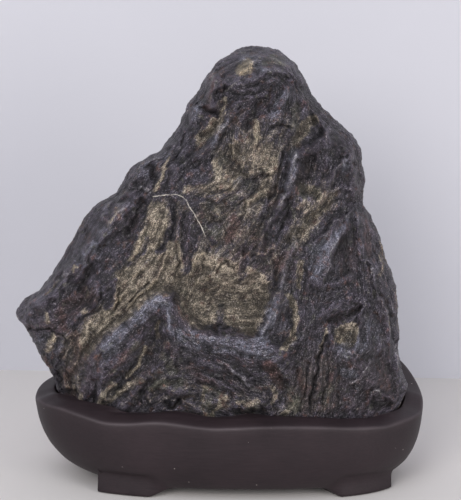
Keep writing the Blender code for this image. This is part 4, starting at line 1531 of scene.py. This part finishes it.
    def mark(self, mesh: bpy.types.Mesh) -> None:
        """Store the marks, the bedding and the hollows on the carved skin."""
        points, normals = vertex_positions(mesh), vertex_normals(mesh)
        cells = SHEET.cells(points)
        facing = self.facing(points, normals)
        loose = cells + self.wander(points)
        tones = {tone: self.tone(tone, loose) * facing for tone in Tone}
        behind = 1.0 - facing
        patches = GradientNoise(41).layers(points / self.clay_patch, 3)
        tones[Tone.CLAY] += 0.9 * behind * smooth_step(-0.05, 0.6, patches)
        tones[Tone.SMOOTH] += behind * smooth_step(0.0, 0.6, -patches)
        spots = ((Tone.RUST, 42, self.rust_patch, 0.6), (Tone.MOSS, 43, self.moss_patch, 0.5))
        for tone, seed, size, share in spots:
            spread = GradientNoise(seed).layers(points / size, 2)
            tones[tone] += share * behind * smooth_step(0.1, 0.7, spread)
        # Crease and cavity measure the skin's hollows; the finish darkens the colour with them as painted
        # shade.
        crease, cavity = self.hollows(mesh, points, normals)
        gap, side = nearest_on_line(cells, VEIN)
        vein_gap = 0.5 + 0.5 * np.clip(gap * side / self.vein_span, -1.0, 1.0)
        faded = 1.0 - 0.7 * smooth_step(*self.vein_fade, cells[:, 1])
        vein_mark = facing * smooth_step(*self.vein_edge, gap) * faded
        self.store(mesh, "skin_a", tones[Tone.CLAY], tones[Tone.SMOOTH], tones[Tone.RUST], tones[Tone.SLATE])
        self.store(mesh, "skin_b", tones[Tone.MOSS], tones[Tone.PALE], tones[Tone.GOLD], tones[Tone.DEEP])
        self.store(mesh, "skin_c", crease, vein_gap, vein_mark, cavity)
        along = mesh.attributes.new("bedding", "FLOAT_VECTOR", "POINT")
        streak = self.bedding.along(points, normals) * (0.35 + 0.65 * facing)[:, None]
        along.data.foreach_set("vector", streak.astype(np.float32).ravel())

    def hollows(self, mesh: bpy.types.Mesh, points: Array, normals: Array) -> tuple:
        """How far each point stands proud of (above 0) or lies below (below 0) the skin around it.

        Args:
            mesh: the carved mesh.
            points: its vertices.
            normals: their normals.

        Returns:
            Numbers from -1 to 1 for the close surroundings, and for the wider ones.
        """
        edges = np.empty(len(mesh.edges) * 2, np.int64)
        mesh.edges.foreach_get("vertices", edges)
        start, end = edges.reshape(-1, 2).T
        count = len(points)
        ties = np.bincount(start, minlength=count) + np.bincount(end, minlength=count)
        smoothed = points.copy()
        found = []

        def drawn_in(values: Array) -> Array:
            """Each vertex's mean over its neighbours."""
            return (np.bincount(start, values[end], count) + np.bincount(end, values[start], count)) / ties

        for rounds, reach in self.surroundings:
            for _ in range(rounds):
                smoothed = np.column_stack([drawn_in(smoothed[:, axis]) for axis in range(3)])
            proud = ((points - smoothed) * normals).sum(axis=1)
            found.append(np.clip(proud / reach, -1.0, 1.0))
        return tuple(found)

    def store(self, mesh: bpy.types.Mesh, name: str, *values: Array) -> None:
        """Store four sets of numbers on a mesh as one colour attribute."""
        layer = mesh.attributes.new(name, "FLOAT_COLOR", "POINT")
        layer.data.foreach_set("color", np.column_stack(values).astype(np.float32).ravel())


# -------- stand


@dataclass(frozen=True)
class StainedHardwood:
    """Close-grained hardwood, stained dark, waxed and buffed: a dull purple brown.

    The eye gets faint lines along the grain, a soft sheen that picks up the wall behind, edges
    painted paler for the wear of handling and as a painted highlight where the rim's rounded edge
    catches the light, and a little pale dust. The pores are finer than 0.3 mm and are drawn
    0.8 mm apart so that they show.
    """

    dark: str = "#1f161a"
    warm: str = "#2c2125"
    rubbed_and_lit: str = "#5d5356"
    dust: str = "#a79e9a"
    roughness: float = 0.55
    ior: float = 1.4
    pore_gap: float = 0.8
    cloud_size: float = 28.0
    dust_gap: float = 4.0
    dust_size: float = 0.32

    def material(self) -> bpy.types.Material:
        """Build the node material.

        Returns:
            The material.
        """
        material, shader, add = start_material("stained_hardwood")
        place = add("TexCoord", out="Object")
        drawn_out = add("Mapping", {"Vector": place, "Scale": (0.08, 1.0, 1.0)})
        pores = add("TexNoise", {"Vector": drawn_out, "Scale": 1.0 / (self.pore_gap * MM), "Detail": 2.0})
        cloud = add("TexNoise", {"Vector": place, "Scale": 1.0 / (self.cloud_size * MM), "Detail": 4.0})
        mixed = add("Math", {0: pores, 1: 0.8, 2: cloud}, operation="MULTIPLY_ADD")
        share = add("MapRange", {0: mixed, 1: 0.6, 2: 1.2})
        colour = add("Mix", {0: share, 6: linear_colour(self.dark), 7: linear_colour(self.warm)}, **RGBA)
        # Painted highlight and wear: the rim's outer edge and the seat's lip are mixed toward a paler
        # colour, for the wear of handling and the light the rounded rim edge catches.
        edge = add("Attribute", out="Fac", attribute_name="rubbed_and_lit")
        spotty = add("Math", {0: cloud, 1: 1.6, 2: -0.3}, operation="MULTIPLY_ADD")
        bare = add("Math", {0: edge, 1: spotty}, operation="MULTIPLY", use_clamp=True)
        colour = add("Mix", {0: bare, 6: colour, 7: linear_colour(self.rubbed_and_lit)}, **RGBA)
        cell = add("TexVoronoi", {"Vector": place, "Scale": 1.0 / (self.dust_gap * MM)})
        lot = add("SeparateColor", {0: cell.node.outputs["Color"]})
        size = add("MapRange", {0: lot, 1: 0.6, 2: 1.0, 3: 0.0, 4: self.dust_size / self.dust_gap})
        speck = add("Math", {0: cell, 1: size}, operation="LESS_THAN")
        colour = add("Mix", {0: speck, 6: colour, 7: linear_colour(self.dust)}, **RGBA)
        bump = add("Bump", {"Height": pores, "Strength": 0.5, "Distance": 0.15 * MM})
        wire(shader, {"Base Color": colour, "Normal": bump})
        shader.inputs["Roughness"].default_value = self.roughness
        shader.inputs["IOR"].default_value = self.ior
        return material


@dataclass
class Stand:
    """The stand: one block with four feet and a seat cut to the stone.

    Its plan is a squared oval. Insets are how far in from that oval a ring is drawn, at the left
    end, at the right end, and at the front and back.
    """

    finish: StainedHardwood = field(default_factory=StainedHardwood)
    centre: tuple[float, float] = (4.65, 0.0)
    half_length: float = 108.3
    half_depth: float = 53.0
    squareness: float = 2.5
    columns: int = 400
    # The rim's outer edge: along the front as a line on the sheet, and round the back as (degrees
    # from the right end, height).
    front_edge: Line = (
        (30, 395), (37, 399), (44, 404), (55, 407), (62, 409), (76, 414), (90, 418.6), (104, 422.8),
        (125, 424), (146, 422.8), (160, 422.8), (174, 424.2), (188, 426.3), (202, 428), (216, 429),
        (240, 428.4), (262, 427.3), (290, 427), (318, 427.3), (346, 428), (360, 428), (374, 427.3),
        (388, 426), (402, 421.4), (413.6, 417.2), (420.6, 413), (430, 406),
    )
    back_edge: Line = (
        (-30, 44.1), (0, 46.7), (12, 50.5), (20, 55.5), (30, 61), (42, 64), (60, 63), (90, 58), (120, 52.5),
        (150, 48.5), (180, 46), (210, 45.7),
    )
    rim_rise: float = 2.7
    rim_width: float = 9.5
    # The wall from the underside up, as (height, left, right, side inset); what is above wall_foot
    # is stretched to meet the rim.
    wall: tuple = (
        (5.5, 31, 19, 10), (6.9, 26.5, 16, 8.2), (10.1, 19.5, 11.5, 6), (14.1, 13, 7.5, 4.2),
        (19.5, 7.8, 4.4, 2.4), (25.5, 4.2, 2.2, 1.2), (32.5, 1.6, 0.8, 0.5), (41.7, 0, 0, 0),
    )
    wall_foot: float = 10.1
    edge_drop: float = 0.8
    # Rings down the stand: the rim's shoulder as (inset, drop, how much paler it is painted, for wear and
    # painted highlight), the wall's heights, and the lowest part as (height on the wall, height on a foot).
    shoulder_rings: tuple = ((rim_width, 0.0, 0.0), (rim_width - 1.5, 0.15, 0.0), (4.5, 1.45, 0.0),
                             (1.5, 2.35, 0.15), (0.7, 2.7, 0.6), (0.15, 3.2, 0.6), (0.0, 4.0, 0.1))
    wall_rings: tuple = (37.0, 32.5, 28.5, 25.5, 22.0, 19.5, 16.5, 14.1)
    foot_rings: tuple = ((12.1, 12.4), (10.1, 10.6), (8.4, 8.6), (6.9, 6.0), (5.9, 3.0), (5.5, 0.6),
                         (5.5, 0.0))
    # Rings behind the feet as (further in, height), and the last two under the middle.
    inner_rings: tuple = ((0.0, 0.0), (0.8, 0.8), (1.6, 5.1), (2.6, 5.5))
    belly_inset: tuple = (70.0, 70.0, 45.0)
    last_reach: float = 5.0
    # How far a foot's sides lean out over its height, and how far its sole's edge is turned in.
    foot_lean: float = 0.08
    sole_edge: float = 0.8
    # Where the feet stand along the length, as (outer side, inner side).
    feet: tuple = ((-68.2, -36.8), (96.2, 65.2))
    foot_inset: tuple = (10.0, 10.0, 7.5)
    foot_depth: float = 24.0
    # The seat's floor and wall, as (height, share of the way out to the stone).
    seat_rings: tuple = ((25.1, 0.1), (25.1, 0.97), (27.5, 1.0), (31.0, 1.0), (36.0, 1.0), (40.5, 1.0))
    seat_gap: float = 0.35
    # The seat's lip: how deep it is, and how far its edge drops and is drawn back where it is rounded.
    lip_depth: float = 1.5
    lip_drop: float = 0.35
    lip_round: float = 0.4
    lip_worn: float = 0.3
    # The stone is felt for from this far out, no lower than its foot; least is used where it isn't met.
    feeler: float = 200.0
    stone_foot: float = 26.0
    least_reach: float = 12.0

    def build(self, stone: bpy.types.Object) -> bpy.types.Object:
        """Shape and dress the stand.

        Args:
            stone: the finished stone, which the seat is cut to.

        Returns:
            The stand's object.
        """
        rings = self.rings(stone)
        table = np.stack([ring for ring, _ in rings])
        rubbed_and_lit = np.array([worn for _, worn in rings])
        bpy.ops.object.select_all(action="DESELECT")
        bpy.ops.mesh.primitive_grid_add(x_subdivisions=self.columns, y_subdivisions=len(table) - 1, size=1.0)
        piece = bpy.context.object
        piece.name = piece.data.name = "stand_block"
        sheet = vertex_positions(piece.data) * MM + 0.5
        column = np.rint(sheet[:, 0] * self.columns).astype(int) % self.columns
        row = np.rint(sheet[:, 1] * (len(table) - 1)).astype(int)
        move_vertices(piece.data, table[row, column])
        worn = piece.data.attributes.new("rubbed_and_lit", "FLOAT", "POINT")
        worn.data.foreach_set("value", rubbed_and_lit[row].astype(np.float32))
        bpy.ops.object.mode_set(mode="EDIT")
        bpy.ops.mesh.select_all(action="SELECT")
        bpy.ops.mesh.remove_doubles(threshold=0.001 * MM)
        bpy.ops.object.mode_set(mode="OBJECT")
        rounding = piece.modifiers.new("rounding", "SUBSURF")
        rounding.levels = rounding.render_levels = 1
        apply_modifiers(piece)
        bpy.ops.object.mode_set(mode="EDIT")
        bpy.ops.mesh.select_all(action="SELECT")
        bpy.ops.mesh.fill_holes(sides=0)
        bpy.ops.mesh.select_all(action="SELECT")
        bpy.ops.mesh.normals_make_consistent(inside=False)
        bpy.ops.object.mode_set(mode="OBJECT")
        bpy.ops.object.shade_smooth()
        piece.data.materials.append(self.finish.material())
        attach(piece, BODY)
        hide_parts("stand")
        return piece

    def angles(self) -> Array:
        """Turns around the plan that space the columns evenly along its edge."""
        dense = np.linspace(0.0, 2.0 * math.pi, 20001)
        edge = self.plan(dense, (0.0, 0.0, 0.0))
        run = np.concatenate([[0.0], np.cumsum(np.linalg.norm(np.diff(edge, axis=0), axis=1))])
        even = np.arange(self.columns) / self.columns * run[-1]
        return np.interp(even, run, dense)

    def plan(self, angle: Array, inset: tuple) -> Array:
        """Points of the plan as n x 2, drawn in from its edge by the left, right and side inset."""
        cosine, sine = np.cos(angle), np.sin(angle)
        power = 2.0 / self.squareness
        left, right, side = inset
        reach = self.half_length - np.where(cosine > 0.0, right, left)
        x = self.centre[0] + reach * np.sign(cosine) * np.abs(cosine) ** power
        y = (self.half_depth - side) * np.sign(sine) * np.abs(sine) ** power
        return np.column_stack([x, y])

    def rim(self, angle: Array) -> Array:
        """Height of the rim's outer edge at each column."""
        degrees = np.mod(np.degrees(angle) + 90.0, 360.0) - 90.0
        spread = (-6.0, -3.0, 0.0, 3.0, 6.0)
        known, heights = zip(*self.back_edge)
        back = sum(np.interp(degrees + turn, known, heights) for turn in spread) / len(spread)
        edge = self.plan(angle, (0.0, 0.0, 0.0))
        curve = smooth_line(self.front_edge)
        front = np.full(len(angle), 45.0)
        for _ in range(4):
            cells = SHEET.cells(np.column_stack([edge, front]))
            wanted = np.interp(cells[:, 0], curve[:, 0], curve[:, 1])
            front += (cells[:, 1] - wanted) * SHEET.cell
        share = smooth_step(0.0, 0.3, -np.sin(angle))
        return back + (front - back) * share

    def wall_inset(self, height: float) -> tuple:
        """The wall's three insets at a height."""
        heights = [row[0] for row in self.wall]
        return tuple(np.interp(height, heights, [row[side] for row in self.wall]) for side in (1, 2, 3))

    def foot_share(self, angle: Array) -> Array:
        """How much each column belongs to a foot: steep outside, with a fillet on the inner side."""
        x = self.plan(angle, self.foot_inset)[:, 0]
        share = np.zeros(len(angle))
        for outer, inner in self.feet:
            inward = 1.0 if inner > outer else -1.0
            past_outer = smooth_step(-0.8, 0.8, (x - outer) * inward)
            short = smooth_step(-0.8, 0.8, (inner - x) * inward)
            fillet = smooth_step(-6.0, 0.5, (inner - x) * inward)
            share += past_outer * (0.72 * short + 0.28 * fillet)
        return share

    def seat_reach(self, skin: BVHTree, ways: Array, heights: Array) -> Array:
        """How far out the stone reaches at each column, with its small hollows bridged.

        Args:
            skin: the stone's surface.
            ways: each column's way out from the centre.
            heights: the height at each column.

        Returns:
            Distances from the centre in millimetres.
        """
        found = []
        for (x, y), height in zip(ways, heights):
            origin = Vector((self.centre[0] + self.feeler * x, self.feeler * y, height)) * MM
            hit, _, _, gap = skin.ray_cast(origin, Vector((-x, -y, 0.0)))
            found.append(self.feeler - gap / MM if hit else self.least_reach)
        bridged = np.max([np.roll(found, step) for step in range(-4, 5)], axis=0)
        return np.mean([np.roll(bridged, step) for step in range(-3, 4)], axis=0) + self.seat_gap

    def rings(self, stone: bpy.types.Object) -> list:
        """The stand's rings from the middle of the seat out, down, and in to the middle underneath.

        Args:
            stone: the finished stone.

        Returns:
            For each ring its points, as columns x 3, and how much paler it is painted, for wear and painted
            highlight, from 0 to 1.
        """
        skin = BVHTree.FromObject(stone, bpy.context.evaluated_depsgraph_get())
        angle = self.angles()
        ways = self.plan(angle, (0.0, 0.0, 0.0)) - self.centre
        ways /= np.linalg.norm(ways, axis=1)[:, None]
        top = self.seat_and_rim(skin, angle, ways)
        return top + self.outside(angle) + self.underside(angle, ways)

    def seat_and_rim(self, skin: BVHTree, angle: Array, ways: Array) -> list:
        """The rings of the seat, its lip, and the rim's top and shoulder.

        Args:
            skin: the stone's surface.
            angle: each column's turn around the plan.
            ways: each column's way out from the centre.

        Returns:
            Rings as rings gives them.
        """
        top = self.rim(angle) + self.rim_rise
        reaches = []
        for height, share in self.seat_rings:
            level = np.full(len(angle), height)
            reach = self.seat_reach(skin, ways, np.maximum(level, self.stone_foot))
            reaches.append((reach * share, level, 0.0))
        under_lip = top - self.lip_depth
        lip = self.seat_reach(skin, ways, top)
        rounded = lip + self.lip_round
        reaches.append((self.seat_reach(skin, ways, under_lip), under_lip, 0.0))
        reaches.append((lip, top - self.lip_drop, self.lip_worn))
        reaches.append((rounded, top, self.lip_worn))
        found = [(np.column_stack([self.centre + ways * reach[:, None], height]), worn)
                 for reach, height, worn in reaches]
        shoulder = self.plan(angle, (self.rim_width,) * 3)
        half_way = 0.5 * (self.centre + ways * rounded[:, None] + shoulder)
        found.append((np.column_stack([half_way, top]), 0.0))
        for inset, drop, worn in self.shoulder_rings:
            found.append((np.column_stack([self.plan(angle, (inset,) * 3), top - drop]), worn))
        return found

    def outside(self, angle: Array) -> list:
        """The rings of the wall and of the feet's outer faces.

        Args:
            angle: each column's turn around the plan.

        Returns:
            Rings as rings gives them.
        """
        found = []
        stretch = (self.rim(angle) - self.edge_drop - self.wall_foot) / (self.wall[-1][0] - self.wall_foot)
        for height in self.wall_rings:
            level = self.wall_foot + (height - self.wall_foot) * stretch
            found.append((np.column_stack([self.plan(angle, self.wall_inset(height)), level]), 0.0))
        foot = self.foot_share(angle)[:, None]
        for wall_height, foot_height in self.foot_rings:
            turned_in = 0.0 if foot_height else self.sole_edge
            leaning = turned_in + self.foot_lean * foot_height
            wall = self.plan(angle, tuple(side + 2.0 * turned_in for side in self.wall_inset(wall_height)))
            leg = self.plan(angle, tuple(side + leaning for side in self.foot_inset))
            above = self.plan(angle, self.wall_inset(foot_height))
            out = np.linalg.norm(np.stack([leg, above]) - self.centre, axis=2)
            reach = np.log(np.exp(out - out.max()).sum(axis=0)) + out.max()
            leg = self.centre + (leg - self.centre) / out[0][:, None] * reach[:, None]
            level = wall_height + (foot_height - wall_height) * foot
            found.append((np.column_stack([wall + (leg - wall) * foot, level]), 0.0))
        return found

    def underside(self, angle: Array, ways: Array) -> list:
        """The rings of the feet's inner faces and of the flat underside.

        Args:
            angle: each column's turn around the plan.
            ways: each column's way out from the centre.

        Returns:
            Rings as rings gives them.
        """
        found = []
        foot = self.foot_share(angle)[:, None]
        under = self.wall[0][0]
        level = np.full(len(angle), under)
        for back, lifted in self.inner_rings:
            inset = tuple(side + self.foot_depth + back for side in self.foot_inset)
            found.append((np.column_stack([self.plan(angle, inset), under + (lifted - under) * foot]), 0.0))
        found.append((np.column_stack([self.plan(angle, self.belly_inset), level]), 0.0))
        found.append((np.column_stack([self.centre + ways * self.last_reach, level]), 0.0))
        return found


# -------- studio


@dataclass(frozen=True)
class Studio:
    """A pale table and wall in soft light, and the camera."""

    # The wall's distance behind the stone in millimetres, and its turn.
    wall_distance: float = 193.0
    wall_turn: float = math.radians(-1.2)
    # Sides of the table and the wall, and how far the table runs on behind the wall, in metres.
    side: float = 6.0
    behind_wall: float = 0.1
    floor_colour: str = "#dad5d2"
    wall_colour: str = "#c9c8cf"
    # Name, place in metres, size in metres, watts, colour.
    lamps: tuple = (
        ("ceiling_light", (-0.3, -0.8, 1.2), 0.7, 4.0, (0.93, 0.96, 1.0)),
        ("front_light", (-0.5, -1.4, 0.75), 0.7, 12.0, (1.0, 0.98, 0.96)),
        ("side_light", (1.1, -1.1, 0.45), 0.8, 9.6, (1.0, 0.98, 0.96)),
    )
    aimed_at: tuple = (0.0, 0.0, 0.12)
    room_light: float = 0.5
    room_tint: tuple = (0.85, 0.9, 1.0, 1.0)

    def plain(self, name: str, code: str) -> bpy.types.Material:
        """A plain dull material.

        Args:
            name: its name.
            code: its colour.

        Returns:
            The material.
        """
        material, shader, _ = start_material(name)
        shader.inputs["Base Color"].default_value = linear_colour(code)
        shader.inputs["Roughness"].default_value = 0.8
        return material

    def build(self) -> None:
        """Set the floor, the wall, the lights and the camera."""
        wall_y = self.wall_distance * MM
        floor_y = wall_y + self.behind_wall - 0.5 * self.side
        bpy.ops.mesh.primitive_plane_add(size=self.side, location=(0.0, floor_y, 0.0))
        floor = bpy.context.object
        floor.name = "table_top"
        floor.data.materials.append(self.plain("pale_table", self.floor_colour))
        bpy.ops.mesh.primitive_plane_add(size=self.side, location=(0.0, wall_y, 0.0),
                                         rotation=(math.radians(90.0), 0.0, self.wall_turn))
        wall = bpy.context.object
        wall.name = "wall"
        wall.data.materials.append(self.plain("pale_wall", self.wall_colour))
        for lamp in self.lamps:
            self.lamp(*lamp)
        world = bpy.data.worlds.new("room")
        bpy.context.scene.world = world
        world.use_nodes = True
        background = world.node_tree.nodes["Background"]
        background.inputs["Color"].default_value = self.room_tint
        background.inputs["Strength"].default_value = self.room_light
        bpy.context.scene.view_settings.view_transform = "Standard"
        self.camera()

    def lamp(self, name: str, place: tuple, size: float, watts: float, tint: tuple) -> None:
        """Add a square soft light aimed at the stone.

        Args:
            name: its name.
            place: where it is, in metres.
            size: its side, in metres.
            watts: its power.
            tint: its colour.
        """
        light = bpy.data.lights.new(name, "AREA")
        light.size = size
        light.energy = watts
        light.color = tint
        lamp = bpy.data.objects.new(name, light)
        bpy.context.scene.collection.objects.link(lamp)
        lamp.location = place
        aim = Vector(self.aimed_at) - Vector(place)
        lamp.rotation_euler = aim.to_track_quat("-Z", "Y").to_euler()

    def camera(self) -> None:
        """Place the camera at the sheet's eye."""
        data = bpy.data.cameras.new("camera")
        data.sensor_fit = "HORIZONTAL"
        data.sensor_width = 36.0
        data.lens = data.sensor_width * SHEET.eye_distance / (SHEET.columns * SHEET.cell)
        data.clip_start, data.clip_end = 0.01, 20.0
        camera = bpy.data.objects.new("camera", data)
        bpy.context.scene.collection.objects.link(camera)
        turn = Matrix((SHEET.across, SHEET.up, -SHEET.forward)).transposed()
        camera.matrix_world = Matrix.Translation(Vector(SHEET.eye * MM)) @ turn.to_4x4()
        bpy.context.scene.camera = camera


# -------- main


def main() -> None:
    """Build the studio, the stone and the stand, in that order."""
    logging.basicConfig(level=logging.INFO, format="%(name)s: %(message)s")
    Studio().build()
    log.info("studio ready")
    stone = Stone().build()
    log.info("%s: %d triangles", stone.name, len(stone.data.polygons))
    stand = Stand().build(stone)
    log.info("%s: %d faces", stand.name, len(stand.data.polygons))


if __name__ == "__main__":
    main()
